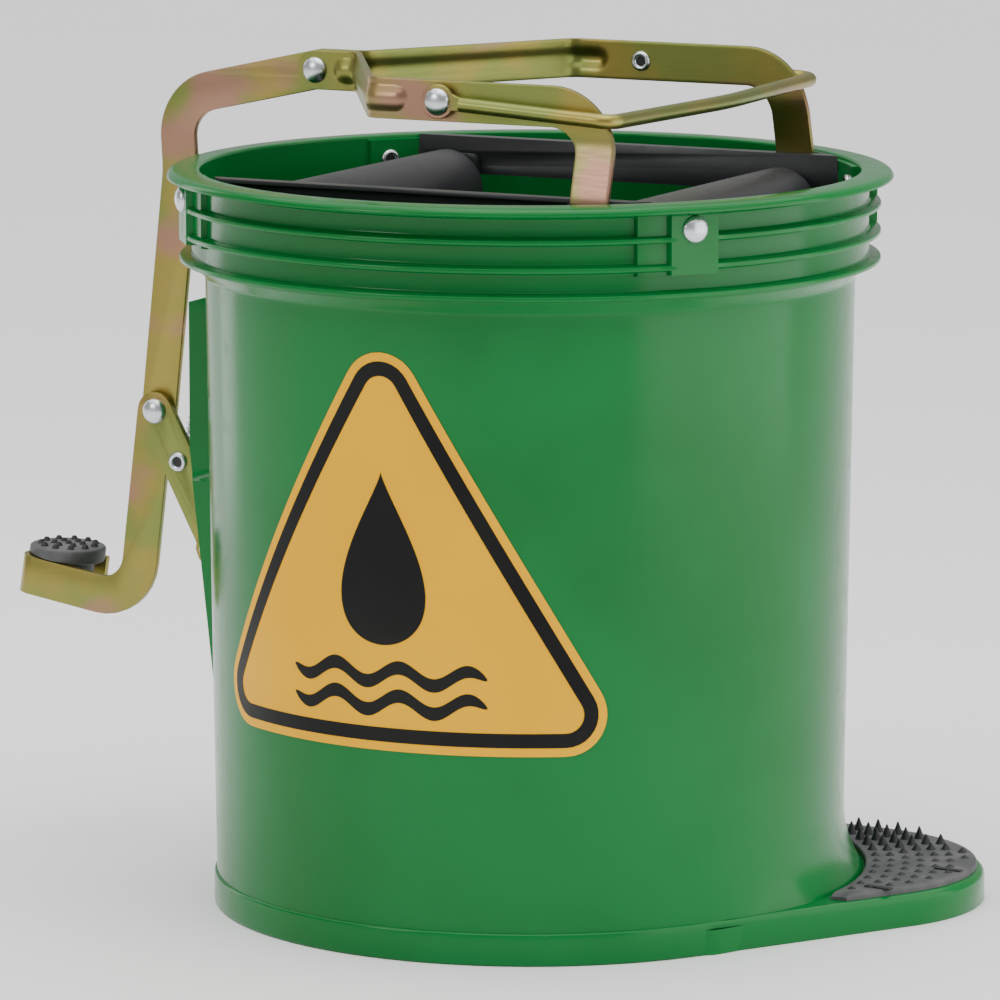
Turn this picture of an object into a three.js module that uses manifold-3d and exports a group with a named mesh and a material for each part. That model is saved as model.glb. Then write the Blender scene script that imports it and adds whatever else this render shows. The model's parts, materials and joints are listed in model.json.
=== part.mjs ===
// Round mop bucket with a pedal wringer: two rollers between side rails, a sliding frame and a carry bail.
// Millimetres, +Z up. The bucket's axis is the Z axis and its base stands on Z = 0.
// +X points away from the pedal, and the rollers lie along Y.
import * as THREE from "three";
import { mergeVertices } from "three/addons/utils/BufferGeometryUtils.js";
import Module from "manifold-3d";

const wasm = await Module();
wasm.setup();

// ---- Driving dimensions -------------------------------------------------------------------------
const gap = 0.35; // between pieces that touch or run on each other
const rimHeight = 308; // floor to the top of the rim
const flangeRadius = 150; // outside of the rim flange
const baseRadius = flangeRadius - 19; // outside of the wall at the floor
const wallThickness = 3;
const floorThickness = 4;
const stripWidth = 16.5; // of every steel strip
const stripThickness = 3; // link and pedal lever
const armThickness = 2.5; // wringer frame
const rivetShank = 3;
const rivetHead = 5.6;

// Bucket
const flangeWidth = 13.5;
const ribCount = 3;
const ribPitch = 11.2;
const ribDepth = 5;
const ribThickness = 1.6;
const openingRadius = flangeRadius - flangeWidth;
const ribRadius = flangeRadius - 5;
const collarRadius = ribRadius - ribDepth;
const shoulderRadius = collarRadius - 5.5;
const topRib = rimHeight - 14.2;
const shoulderHeight = topRib - (ribCount - 1) * ribPitch - 7.4;
const bandHeight = 13.5;
const bandProud = 1.3;
const roundSteps = 60; // flats round the bucket

// Step platform at the foot of the wall
const platformAngle = 27;
const platformReach = flangeRadius + 41;
const platformTip = platformReach * 0.366;
const platformWall = 3;
const flareHeight = 28;
const flareReach = 9;
const gripThickness = 4;
const gripMargin = 3;
const gripHalfAngle = 30; // degrees each side of the platform's middle
const spikeHeight = 7;
const spikeRadius = 2.6;

// Flat on the wall that carries the pedal's pivot
const padFace = flangeRadius - 8.5;
const padHalfWidth = 37;
const padTop = shoulderHeight;
const padBend = rimHeight * 0.6;
const padFoot = rimHeight * 0.234;
const padFootFace = baseRadius - 0.5;
const padSlope = Math.atan2(padFace - padFootFace, padBend - padFoot);

// Side rails, pinned to the rim by four rivets
const railFace = flangeRadius * 0.607; // inner face, from the middle
const railDepth = 6.5;
const railHeight = 16;
const railSheet = 1.5;
const railTop = rimHeight;
const railBottom = railTop - railHeight;
const rivetAngle = 37;
const railRivetHeight = rimHeight - 10.4;
const bossFace = ribRadius;
const bossHalfWidth = 10.7;
const bossHeight = 25;
const socketFace = openingRadius - 2;
const tongueInner = openingRadius + 1.3;
const tongueThickness = 2;
const tongueHeight = 8;

// Rollers
const rollerRadius = 17;
const rollerHalfLength = railFace - 4;
const rollerHeight = rimHeight - 5 - rollerRadius;
const axleRadius = 4;
const fixedRollerX = -flangeRadius * 0.54;
const movingRollerX = flangeRadius * 0.503;

// Wringer frame
const armPlane = railFace + 2; // middle of an arm's thickness, from the middle of the bucket
const armHeight = rimHeight + 36;
const strapCorner = 28; // outside of the turn from arm to strap
const strapPlane = railFace + railDepth + 0.5 + armThickness / 2;
const tabX = -flangeRadius * 0.656;
const tabPlane = stripThickness / 2 + 0.3 + armThickness / 2;
const splitX = tabX + 20;
const cornerX = splitX + 53;
const bailPivotX = 7;

// Carry bail
const bailRod = 3;
const bailReach = movingRollerX + 1.5;
const bailBow = 6;
const bailDrop = 4.7;
const bailPlane = armPlane + armThickness / 2 + 0.3 + bailRod + 0.4;
const eyeThickness = 3;
const eyeRadius = 7;

// Pedal lever and link
const linkBottom = new THREE.Vector2(-flangeRadius - 26.5, rimHeight * 0.6315);
const linkCorner = new THREE.Vector2(-flangeRadius - 17, armHeight - 15);
const linkKnee = new THREE.Vector2(-flangeRadius - 15.2, rimHeight - 10);
const linkTop = new THREE.Vector2(tabX, armHeight);
const springPin = new THREE.Vector2(-flangeRadius - 15.2, rimHeight * 0.5633);
const pedalPivot = new THREE.Vector2(-padFace - 5, rimHeight * 0.448);
const leverCorner = new THREE.Vector2(-flangeRadius - 36.9, rimHeight * 0.3578);
const footSlope = 9;
const footEnd = -flangeRadius - 96;
const footBend = footEnd + 18; // where the pedal's strip gives way to the loop
const footStart = footEnd + 41;
const padRadius = 16.5;
const padThickness = 4.5;
const linkPlay = 2.4; // clearance hole at the link's bottom end
const pivotPin = 4;
const springAnchor = new THREE.Vector2(-padFace - 12.5, rimHeight * 0.74);
const springPlane = 6;
const springCoil = 3.3;
const springWire = 0.7;

// ---- Helpers ------------------------------------------------------------------------------------
const RAD = Math.PI / 180;

// A three.js geometry as a solid for the boolean operations.
function solid(geometry) {
  const plain = geometry.clone();
  plain.deleteAttribute("normal");
  plain.deleteAttribute("uv");
  const merged = mergeVertices(plain, 1e-4);
  const index = merged.index.array;
  const kept = [];
  for (let i = 0; i < index.length; i += 3) {
    const [a, b, c] = [index[i], index[i + 1], index[i + 2]];
    if (a !== b && b !== c && c !== a) kept.push(a, b, c);
  }
  return new wasm.Manifold(
    new wasm.Mesh({
      numProp: 3,
      vertProperties: new Float32Array(merged.attributes.position.array),
      triVerts: new Uint32Array(kept),
    }),
  );
}

// A solid back as a three.js geometry.
function geometryOf(body) {
  const mesh = body.getMesh();
  const geometry = new THREE.BufferGeometry();
  geometry.setAttribute("position", new THREE.Float32BufferAttribute(mesh.vertProperties, 3));
  geometry.setIndex(Array.from(mesh.triVerts));
  geometry.computeVertexNormals();
  return geometry;
}

const v2 = (x, y) => new THREE.Vector2(x, y);

// A closed outline given in plan, raised from low to high.
function plan(points, low, high) {
  const geometry = new THREE.ExtrudeGeometry(new THREE.Shape(points), {
    depth: high - low,
    bevelEnabled: false,
  });
  return solid(geometry.translate(0, 0, low));
}

// A closed outline given in X and Z, reaching from one Y to another.
function side(points, low, high) {
  const geometry = new THREE.ExtrudeGeometry(new THREE.Shape(points), {
    depth: high - low,
    bevelEnabled: false,
  });
  return solid(geometry.rotateX(Math.PI / 2).translate(0, high, 0));
}

// A closed outline given in Y and Z, reaching from one X to another.
function front(points, low, high) {
  const geometry = new THREE.ExtrudeGeometry(new THREE.Shape(points), {
    depth: high - low,
    bevelEnabled: false,
  });
  return solid(geometry.rotateX(Math.PI / 2).rotateZ(Math.PI / 2).translate(low, 0, 0));
}

function box(lowX, highX, lowY, highY, lowZ, highZ) {
  const geometry = new THREE.BoxGeometry(highX - lowX, highY - lowY, highZ - lowZ);
  return solid(geometry.translate((lowX + highX) / 2, (lowY + highY) / 2, (lowZ + highZ) / 2));
}

// A profile of [radius, height] pairs turned round the Z axis.
function turned(profile, segments) {
  const points = profile.map(([r, z]) => v2(r, z));
  return solid(new THREE.LatheGeometry(points, segments).rotateX(Math.PI / 2));
}

function disc(radius, low, high, segments) {
  return turned([[0, low], [radius, low], [radius, high], [0, high]], segments);
}

// A cylinder along Y through a point given in X and Z.
function pinAlongY(centre, radius, low, high, segments) {
  const geometry = new THREE.CylinderGeometry(radius, radius, high - low, segments);
  return solid(geometry.translate(centre.x, (low + high) / 2, centre.y));
}

// Corner points joined by straight lines, each inner corner rounded with its radius.
function rounded(points, radii, steps) {
  const path = [points[0].clone()];
  for (let i = 1; i < points.length - 1; i++) {
    const before = points[i - 1].clone().sub(points[i]).normalize();
    const after = points[i + 1].clone().sub(points[i]).normalize();
    const half = Math.acos(before.dot(after)) / 2;
    const radius = radii[i - 1];
    const reach = radius / Math.tan(half);
    const start = points[i].clone().addScaledVector(before, reach);
    const middle = before.clone().add(after).normalize();
    const centre = points[i].clone().addScaledVector(middle, radius / Math.sin(half));
    const sweep = Math.PI - 2 * half;
    const turn = before.cross(after) > 0 ? -sweep : sweep;
    for (let k = 0; k <= steps; k++) {
      path.push(start.clone().rotateAround(centre, (turn * k) / steps));
    }
  }
  path.push(points[points.length - 1].clone());
  return path;
}

// The outline of a strip of one width that follows a path, with square or round ends.
function ribbon(path, width, roundEnds) {
  const left = [];
  const right = [];
  const last = path.length - 1;
  for (let i = 0; i <= last; i++) {
    const along = path[Math.min(i + 1, last)].clone().sub(path[Math.max(i - 1, 0)]).normalize();
    const across = v2(-along.y, along.x).multiplyScalar(width / 2);
    left.push(path[i].clone().add(across));
    right.push(path[i].clone().sub(across));
  }
  const cap = (from, centre) => {
    const points = [];
    for (let k = 1; k < 10; k++) points.push(from.clone().rotateAround(centre, (-Math.PI * k) / 10));
    return points;
  };
  const endCap = roundEnds ? cap(left[last], path[last]) : [];
  const startCap = roundEnds ? cap(right[0], path[0]) : [];
  return [...left, ...endCap, ...right.reverse(), ...startCap];
}

// Part of a ring in plan, between two radii and two angles in degrees.
function sector(inner, outer, from, to, low, high) {
  const points = [];
  const steps = 8;
  for (let k = 0; k <= steps; k++) {
    const angle = (from + ((to - from) * k) / steps) * RAD;
    points.push(v2(outer * Math.cos(angle), outer * Math.sin(angle)));
  }
  for (let k = steps; k >= 0; k--) {
    const angle = (from + ((to - from) * k) / steps) * RAD;
    points.push(v2(inner * Math.cos(angle), inner * Math.sin(angle)));
  }
  return plan(points, low, high);
}

// A dome rivet with its head's seat on Z = 0, the head above, and a hollow tail below the grip.
function rivet(grip, tail = 4.3) {
  const bore = 2;
  const seat = -grip - 2 * gap;
  const profile = [
    [0, seat + 1.5],
    [bore, seat + 1.5],
    [bore, seat - 1.4],
    [tail - 0.6, seat - 1.4],
    [tail, seat - 0.5],
    [tail - 0.3, seat],
    [rivetShank, seat],
    [rivetShank, 0],
    [rivetHead, 0],
    [rivetHead * 0.92, 1.3],
    [rivetHead * 0.6, 2.5],
    [0, 3.1],
  ];
  return turned(profile, 12);
}

// A headed stud with its head's seat on Z = 0 and a plain shank below it.
function stud(shank, length, head, headHeight) {
  return turned(
    [
      [0, -length],
      [shank, -length],
      [shank, 0],
      [head, 0],
      [head, headHeight * 0.5],
      [head * 0.6, headHeight],
      [0, headHeight],
    ],
    12,
  );
}

// Turns a body made along +Z so that it points along -Y or +Y, then moves it.
const faceFront = (body, x, y, z) => body.rotate([90, 0, 0]).translate([x, y, z]);
const faceBack = (body, x, y, z) => body.rotate([-90, 0, 0]).translate([x, y, z]);

const mirrorY = (body) => body.mirror([0, 1, 0]);

// ---- Bucket -------------------------------------------------------------------------------------
const wallRadius = (z) => baseRadius + ((shoulderRadius - baseRadius) * z) / shoulderHeight;

function ribProfile() {
  const points = [];
  for (let i = ribCount - 1; i >= 0; i--) {
    const z = topRib - i * ribPitch;
    points.push([collarRadius, z - ribThickness]);
    points.push([ribRadius, z - ribThickness / 2]);
    points.push([ribRadius, z + ribThickness / 2]);
    points.push([collarRadius, z + ribThickness]);
  }
  return points;
}

function outerBody() {
  return turned(
    [
      [0, 0],
      [baseRadius + bandProud, 0],
      [baseRadius + bandProud, bandHeight],
      [wallRadius(bandHeight), bandHeight],
      [shoulderRadius, shoulderHeight],
      [collarRadius, shoulderHeight + 5.2],
      ...ribProfile(),
      [collarRadius, rimHeight - 5],
      [flangeRadius - 1, rimHeight - 3.6],
      [flangeRadius, rimHeight - 2.4],
      [flangeRadius, rimHeight - 1.2],
      [flangeRadius - 1.6, rimHeight],
      [0, rimHeight],
    ],
    roundSteps,
  );
}

function interior() {
  return turned(
    [
      [0, floorThickness],
      [baseRadius - wallThickness - 6, floorThickness],
      [wallRadius(floorThickness + 7) - wallThickness, floorThickness + 7],
      [shoulderRadius - wallThickness, shoulderHeight + 1],
      [openingRadius, shoulderHeight + 9],
      [openingRadius, rimHeight - 1],
      [openingRadius + 1, rimHeight + 0.01],
      [openingRadius + 1, rimHeight + 5],
      [0, rimHeight + 5],
    ],
    roundSteps,
  );
}

// Plan outline round the base circle and the platform's rounded tip, drawn in by a margin.
function platformOutline(margin) {
  const near = baseRadius + bandProud - margin;
  const tip = platformTip - margin;
  const distance = platformReach - platformTip;
  const tangent = Math.acos((near - tip) / distance);
  const points = [];
  for (let k = 0; k <= 20; k++) {
    const angle = -tangent + (2 * tangent * k) / 20;
    points.push(v2(distance + tip * Math.cos(angle), tip * Math.sin(angle)));
  }
  for (let k = 0; k <= 12; k++) {
    const angle = tangent + ((2 * Math.PI - 2 * tangent) * k) / 12;
    points.push(v2(near * 0.98 * Math.cos(angle), near * 0.98 * Math.sin(angle)));
  }
  points.splice(21, 1, v2(near * Math.cos(tangent), near * Math.sin(tangent)));
  points.splice(points.length - 1, 1, v2(near * Math.cos(tangent), -near * Math.sin(tangent)));
  return points.map((p) => p.rotateAround(v2(0, 0), platformAngle * RAD));
}

// The wall leans out towards the platform near the floor, most at the platform's middle.
function flare() {
  const levels = 5;
  const profile = [[0, bandHeight - 3]];
  for (let k = 0; k <= levels; k++) {
    const z = bandHeight - 3 + ((flareHeight + 3) * k) / levels;
    profile.push([wallRadius(z) - 0.4, z]);
  }
  profile.push([0, bandHeight + flareHeight]);
  const geometry = new THREE.LatheGeometry(profile.map(([r, z]) => v2(r, z)), 64);
  geometry.rotateX(Math.PI / 2);
  const position = geometry.attributes.position;
  for (let i = 0; i < position.count; i++) {
    const left = (bandHeight + flareHeight - position.getZ(i)) / flareHeight;
    const shift = flareReach * Math.min(left, 1) ** 2;
    position.setX(i, position.getX(i) + shift * Math.cos(platformAngle * RAD));
    position.setY(i, position.getY(i) + shift * Math.sin(platformAngle * RAD));
  }
  return solid(geometry);
}

function pivotPad() {
  const outline = [
    v2(-padFace, padTop),
    v2(-padFace, padBend),
    v2(-padFootFace, padFoot),
    v2(-padFootFace + 8, padFoot),
    v2(-padFootFace + 8, padTop + 4),
    v2(-shoulderRadius, padTop + 4),
  ];
  return side(outline, -padHalfWidth, padHalfWidth);
}

const rivetAngles = [rivetAngle, 180 - rivetAngle, 180 + rivetAngle, 360 - rivetAngle];

// +1 where the recess and the rail lie on the side of growing angle.
const towardsRail = (angle) => (angle < 90 || (angle > 180 && angle < 270) ? 1 : -1);

function onRim(body, angle) {
  return body.rotate([0, 0, angle]);
}

const bossAngle = (bossHalfWidth / bossFace) / RAD;
const recessAngle = bossAngle + 5.3;

function rivetBoss(angle) {
  const low = rimHeight - 3.5 - bossHeight;
  const high = rimHeight - 3.5;
  const block = onRim(box(openingRadius + 1, bossFace, -bossHalfWidth, bossHalfWidth, low, high), angle);
  const way = towardsRail(angle);
  const from = angle + way * (bossAngle - 1);
  const to = angle + way * recessAngle;
  const step = sector(
    openingRadius + 1,
    collarRadius + 2.5,
    Math.min(from, to),
    Math.max(from, to),
    low,
    high,
  );
  return block.add(step);
}

function rivetRecess(angle) {
  const way = towardsRail(angle);
  const from = angle + way * (bossAngle + 0.2);
  const to = angle + way * recessAngle;
  return sector(
    collarRadius + 2.5,
    flangeRadius + 5,
    Math.min(from, to),
    Math.max(from, to),
    rimHeight - 5 - bossHeight,
    rimHeight - 5,
  );
}

function socket(angle) {
  const way = towardsRail(angle);
  const from = angle - way * 4;
  const to = angle + way * (recessAngle - 0.5);
  return sector(
    socketFace,
    openingRadius + 1,
    Math.min(from, to),
    Math.max(from, to),
    railBottom - 2,
    rimHeight - 1,
  );
}

// The hidden end of a rail: straight on through the socket, then along the inside of the rim.
function tongue(angle, play) {
  const way = towardsRail(angle);
  const signX = Math.cos(angle * RAD) > 0 ? 1 : -1;
  const signY = Math.sin(angle * RAD) > 0 ? 1 : -1;
  const low = railRivetHeight - tongueHeight / 2 - play;
  const high = railRivetHeight + tongueHeight / 2 + play;
  const outer = tongueInner + tongueThickness + play;
  const end = Math.asin((railFace + railSheet) / tongueInner) / RAD - rivetAngle;
  const from = angle - way * (3.2 + play / 2.4);
  const to = angle + way * (end + play / 2.4);
  const arc = sector(tongueInner - play, outer, Math.min(from, to), Math.max(from, to), low, high);
  const reachX = Math.sqrt(outer ** 2 - railFace ** 2);
  const yEdges = [signY * (railFace - play), signY * (railFace + railSheet + play)];
  const xEdges = [signX * (reachX - 25), signX * reachX];
  const straight = box(
    Math.min(...xEdges),
    Math.max(...xEdges),
    Math.min(...yEdges),
    Math.max(...yEdges),
    low,
    high,
  ).intersect(disc(outer, low - 1, high + 1, roundSteps));
  return arc.add(straight);
}

function railRivetHole(angle) {
  const hole = disc(rivetShank + gap, socketFace - 5, flangeRadius + 2, 16).rotate([0, 90, 0]);
  return onRim(hole, angle).translate([0, 0, railRivetHeight]);
}

// Puts a body made along +Z on the sloping flat: across it at y, and up it from the pivot's height.
function onPad(body, y, up) {
  const z = pedalPivot.y + up * Math.cos(padSlope);
  const x = -(padFace - (padBend - z) * Math.tan(padSlope));
  return body.rotate([0, -90 - padSlope / RAD, 0]).translate([x, y, z]);
}

const bracketSheet = 2.5;
const bracketFoot = 18;
const bracketRise = 17;
const bracketRivetUp = [-9, 9];
const earFront = [-stripThickness / 2 - 0.3 - stripThickness - 0.3 - stripThickness, 0];
earFront[1] = earFront[0] + stripThickness;
const earBack = [-stripThickness / 2, stripThickness / 2];
const bracketRivetY = [earFront[0] - bracketFoot / 2, earBack[1] + bracketFoot / 2];
const studLength = 6;

function bucketShell() {
  let body = outerBody().add(flare()).add(pivotPad());
  body = body.add(plan(platformOutline(0), 0, bandHeight));
  let inside = interior();
  for (const angle of rivetAngles) {
    body = body.subtract(rivetRecess(angle)).add(rivetBoss(angle));
    inside = inside.subtract(socket(angle));
  }
  const hollow = plan(platformOutline(platformWall), -1, bandHeight - platformWall);
  const underWall = disc(baseRadius + bandProud, -2, bandHeight, roundSteps);
  body = body.subtract(inside).subtract(hollow.subtract(underWall));
  for (const angle of rivetAngles) {
    body = body.subtract(tongue(angle, gap)).subtract(railRivetHole(angle));
  }
  for (const y of bracketRivetY) {
    for (const up of bracketRivetUp) {
      body = body.subtract(onPad(disc(2.5 + gap, -studLength - 0.5, 3, 16), y, up));
    }
  }
  const anchorHole = disc(2.5 + gap, -studLength - 0.5, 3, 16).rotate([0, -90, 0]);
  return body.subtract(anchorHole.translate([-padFace, springPlane, springAnchor.y]));
}

function spikeSpots() {
  const spots = [];
  const rows = [44, 34.5, 25, 15.5].map((inset) => platformReach - inset);
  const spread = [22, 21.5, 19, 14];
  rows.forEach((radius, row) => {
    const count = Math.round((2 * spread[row] * RAD * radius) / 10.5);
    for (let k = 0; k <= count; k++) {
      const angle = (platformAngle - spread[row] + (2 * spread[row] * k) / count) * RAD;
      spots.push(v2(radius * Math.cos(angle), radius * Math.sin(angle)));
    }
  });
  return spots;
}

function footGrip() {
  const low = bandHeight + gap;
  const high = low + gripThickness;
  const inner = baseRadius + flareReach + 0.8;
  const wedge = sector(
    inner,
    platformReach + 10,
    platformAngle - gripHalfAngle,
    platformAngle + gripHalfAngle,
    low,
    high,
  );
  let body = plan(platformOutline(gripMargin), low, high).intersect(wedge);
  for (const spot of spikeSpots()) {
    const spike = turned(
      [[0, high - 1], [spikeRadius, high - 1], [spikeRadius, high], [0, high + spikeHeight]],
      5,
    );
    body = body.add(spike.translate([spot.x, spot.y, 0]));
  }
  return body;
}

// A thin triangular sticker wrapped round the front of the wall.
function labelSticker() {
  const bottom = rimHeight * 0.279;
  const top = shoulderHeight * 0.999;
  const half = baseRadius * 0.8;
  const corner = 17;
  const outline = rounded(
    [v2(0, bottom), v2(half, bottom), v2(0, top), v2(-half, bottom), v2(0, bottom)],
    [corner, corner, corner],
    6,
  );
  outline.pop();
  const low = bottom - 15;
  const high = top - 2;
  const skin = turned(
    [
      [wallRadius(low) + 0.3, low],
      [wallRadius(low) + 0.8, low],
      [wallRadius(high) + 0.8, high],
      [wallRadius(high) + 0.3, high],
      [wallRadius(low) + 0.3, low],
    ],
    roundSteps,
  );
  // Flat outline to arc length: wide shapes are drawn in so that the wrapped sides stay straight.
  const wrapped = outline.map((p) => v2(wallRadius(p.y) * Math.sin(p.x / wallRadius(p.y)), p.y));
  return side(wrapped, -flangeRadius, -flangeRadius * 0.25).intersect(skin);
}

// ---- Rails and rollers --------------------------------------------------------------------------
function sideRail() {
  const outline = [
    v2(railFace, railBottom),
    v2(railFace + railDepth, railBottom),
    v2(railFace + railDepth, railBottom + railSheet),
    v2(railFace + railSheet, railBottom + railSheet),
    v2(railFace + railSheet, railTop - railSheet),
    v2(railFace + railDepth, railTop - railSheet),
    v2(railFace + railDepth, railTop),
    v2(railFace, railTop),
  ];
  const length = openingRadius;
  let body = front(outline, -length, length);
  body = body.intersect(disc(socketFace - 0.3, railBottom - 1, railTop + 1, roundSteps));
  for (const angle of [rivetAngle, 180 - rivetAngle]) {
    body = body.add(tongue(angle, 0)).subtract(railRivetHole(angle));
  }
  for (const x of blockPegs) {
    body = body.subtract(pinAlongY(v2(x, pegHeight), pegRadius + gap, railFace - 2, railFace + 3, 16));
  }
  return body;
}

function railRivet(angle) {
  const body = rivet(bossFace - socketFace).rotate([0, 90, 0]);
  return onRim(body.translate([bossFace + gap, 0, railRivetHeight]), angle);
}

const pegRadius = 2.5;
const pegHeight = railBottom + 6;
const blockHalf = flangeRadius * 0.08; // half a bearing block's width
const blockPegs = [fixedRollerX - blockHalf * 0.62, fixedRollerX + blockHalf * 0.62];

function bearingBlock() {
  const low = rollerHalfLength + 0.6;
  const high = railFace - gap;
  const outline = rounded(
    [
      v2(fixedRollerX, rollerHeight - 10),
      v2(fixedRollerX + blockHalf, rollerHeight - 10),
      v2(fixedRollerX + blockHalf, rollerHeight + 15),
      v2(fixedRollerX - blockHalf, rollerHeight + 15),
      v2(fixedRollerX - blockHalf, rollerHeight - 10),
      v2(fixedRollerX, rollerHeight - 10),
    ],
    [8, 3, 3, 8],
    4,
  );
  outline.pop();
  let body = side(outline, low, high);
  const bore = pinAlongY(v2(fixedRollerX, rollerHeight), axleRadius + gap, low - 1, high + 1, 20);
  body = body.subtract(bore);
  for (const x of blockPegs) {
    body = body.add(pinAlongY(v2(x, pegHeight), pegRadius, high - 1, railFace + railSheet + 1.5, 16));
  }
  return body;
}

function roller(x) {
  const bore = axleRadius + gap;
  const end = rollerHalfLength;
  const r = rollerRadius;
  const body = turned(
    [
      [bore, -end],
      [r - 4, -end],
      [r - 1.1, -end + 1.2],
      [r, -end + 4],
      [r, end - 4],
      [r - 1.1, end - 1.2],
      [r - 4, end],
      [bore, end],
      [bore, -end],
    ],
    32,
  );
  return body.rotate([90, 0, 0]).translate([x, 0, rollerHeight]);
}

function fixedAxle() {
  const half = railFace + railSheet + 1;
  return pinAlongY(v2(fixedRollerX, rollerHeight), axleRadius, -half, half, 20);
}

const strapOuter = strapPlane + armThickness / 2;
const strapInner = strapPlane - armThickness / 2;

function movingAxle() {
  const half = strapOuter + gap;
  const head = axleRadius + 2;
  const body = turned(
    [
      [0, -half - 2.4],
      [head - 1.5, -half - 2.4],
      [head, -half],
      [axleRadius, -half],
      [axleRadius, half],
      [head, half],
      [head - 1.5, half + 2.4],
      [0, half + 2.4],
    ],
    20,
  );
  return body.rotate([90, 0, 0]).translate([movingRollerX, 0, rollerHeight]);
}

// ---- Wringer frame ------------------------------------------------------------------------------
const shoeHeight = (railTop + railBottom) / 2;
const shoeHalfLength = 11;
const shoeLow = railFace + railSheet + gap;
const shoeHigh = strapInner - gap;
const shoeRivetRadius = 2.5;

function slideShoe() {
  const rise = railHeight / 2 - railSheet - gap;
  const body = box(
    movingRollerX - shoeHalfLength,
    movingRollerX + shoeHalfLength,
    shoeLow,
    shoeHigh,
    shoeHeight - rise,
    shoeHeight + rise,
  );
  const hole = pinAlongY(v2(movingRollerX, shoeHeight), shoeRivetRadius + gap, shoeLow + 1, shoeHigh + 1, 16);
  return body.subtract(hole);
}

function shoeRivet() {
  const length = strapOuter + gap - shoeLow - 1.4;
  return faceBack(stud(shoeRivetRadius, length, 4.6, 2.2), movingRollerX, strapOuter + gap, shoeHeight);
}

// The back arm: a tab beside the link, a diagonal, a straight run, and a strap down past the rail.
function frameArm() {
  const half = stripWidth / 2;
  const run = movingRollerX + stripWidth / 2 - strapCorner - 8;
  const path = rounded(
    [v2(tabX - half - 2, tabPlane), v2(splitX, tabPlane), v2(cornerX, armPlane), v2(run, armPlane)],
    [5, 7],
    4,
  );
  const strip = plan(ribbon(path, armThickness, false), armHeight - half, armHeight + half);
  const tabOutline = ribbon([v2(tabX, armHeight), v2(run + 5, armHeight)], stripWidth, true);
  let body = strip.intersect(side(tabOutline, -5, armPlane + 5));

  const left = movingRollerX - stripWidth / 2;
  const right = movingRollerX + stripWidth / 2;
  const foot = ribbon(
    [v2(movingRollerX, rollerHeight), v2(movingRollerX, armHeight - half)],
    stripWidth,
    true,
  );
  const bend = rounded(
    [
      v2(run - 1, armHeight - half),
      v2(run - 1, armHeight + half),
      v2(right, armHeight + half),
      v2(right, armHeight + half - strapCorner - 12),
      v2(left, armHeight + half - strapCorner - 12),
      v2(left, armHeight - half),
      v2(run - 1, armHeight - half),
    ],
    [0.01, strapCorner, 0.01, 0.01, strapCorner - stripWidth + 2],
    8,
  );
  bend.pop();
  const inner = armPlane - 13;
  const outer = armPlane + 27;
  const belowBend = box(0, 2 * flangeRadius, inner, outer, 0, armHeight + half - strapCorner - 10);
  const face = side(foot, inner, outer).intersect(belowBend).add(side(bend, inner, outer));
  const drop = rounded(
    [
      v2(armPlane, armHeight + 20),
      v2(armPlane, armHeight - 14),
      v2(strapPlane, railTop),
      v2(strapPlane, railTop - 60),
    ],
    [18, 18],
    5,
  );
  body = body.add(face.intersect(front(ribbon(drop, armThickness, false), -10, flangeRadius)));

  const holes = [
    pinAlongY(v2(tabX, armHeight), rivetShank + gap, -10, 20, 16),
    pinAlongY(v2(bailPivotX, armHeight), rivetShank + gap, armPlane - 13, armPlane + 17, 16),
    pinAlongY(v2(movingRollerX, rollerHeight), axleRadius + gap, armPlane - 13, armPlane + 17, 20),
    pinAlongY(v2(movingRollerX, shoeHeight), shoeRivetRadius + gap, armPlane - 13, armPlane + 17, 16),
  ];
  for (const hole of holes) body = body.subtract(hole);
  return body;
}

function topRivet() {
  const outer = tabPlane + armThickness / 2;
  return faceFront(rivet(2 * outer), tabX, -outer - gap, armHeight);
}

// ---- Carry bail ---------------------------------------------------------------------------------
function carryBail() {
  const start = bailPivotX + rivetHead + 5;
  const corner = bailPivotX + bailReach;
  const slope = bailDrop / bailReach;
  const path = rounded(
    [
      v2(start, -bailPlane),
      v2(corner, -bailPlane),
      v2(corner + bailBow, 0),
      v2(corner, bailPlane),
      v2(start, bailPlane),
    ],
    [6, 260, 6],
    6,
  );
  const centre = path.map((p) => new THREE.Vector3(p.x, p.y, armHeight - (p.x - bailPivotX) * slope));
  const wire = new THREE.CurvePath();
  for (let i = 1; i < centre.length; i++) wire.add(new THREE.LineCurve3(centre[i - 1], centre[i]));
  const section = [];
  for (let k = 0; k < 8; k++) {
    section.push(v2(bailRod * Math.cos((k * Math.PI) / 4), bailRod * Math.sin((k * Math.PI) / 4)));
  }
  let body = solid(sweep(centre, section));
  const low = bailPlane - bailRod - 0.1;
  for (const way of [1, -1]) {
    const edges = [way * low, way * (low + eyeThickness)];
    const from = Math.min(...edges);
    const to = Math.max(...edges);
    const neck = ribbon([v2(bailPivotX, armHeight), v2(start + 3, armHeight - 0.7)], 2 * bailRod + 1, true);
    body = body.add(side(neck, from, to));
    body = body.add(pinAlongY(v2(bailPivotX, armHeight), eyeRadius, from, to, 24));
  }
  const hole = pinAlongY(v2(bailPivotX, armHeight), rivetShank + gap, -flangeRadius, flangeRadius, 16);
  return body.subtract(hole);
}

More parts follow.
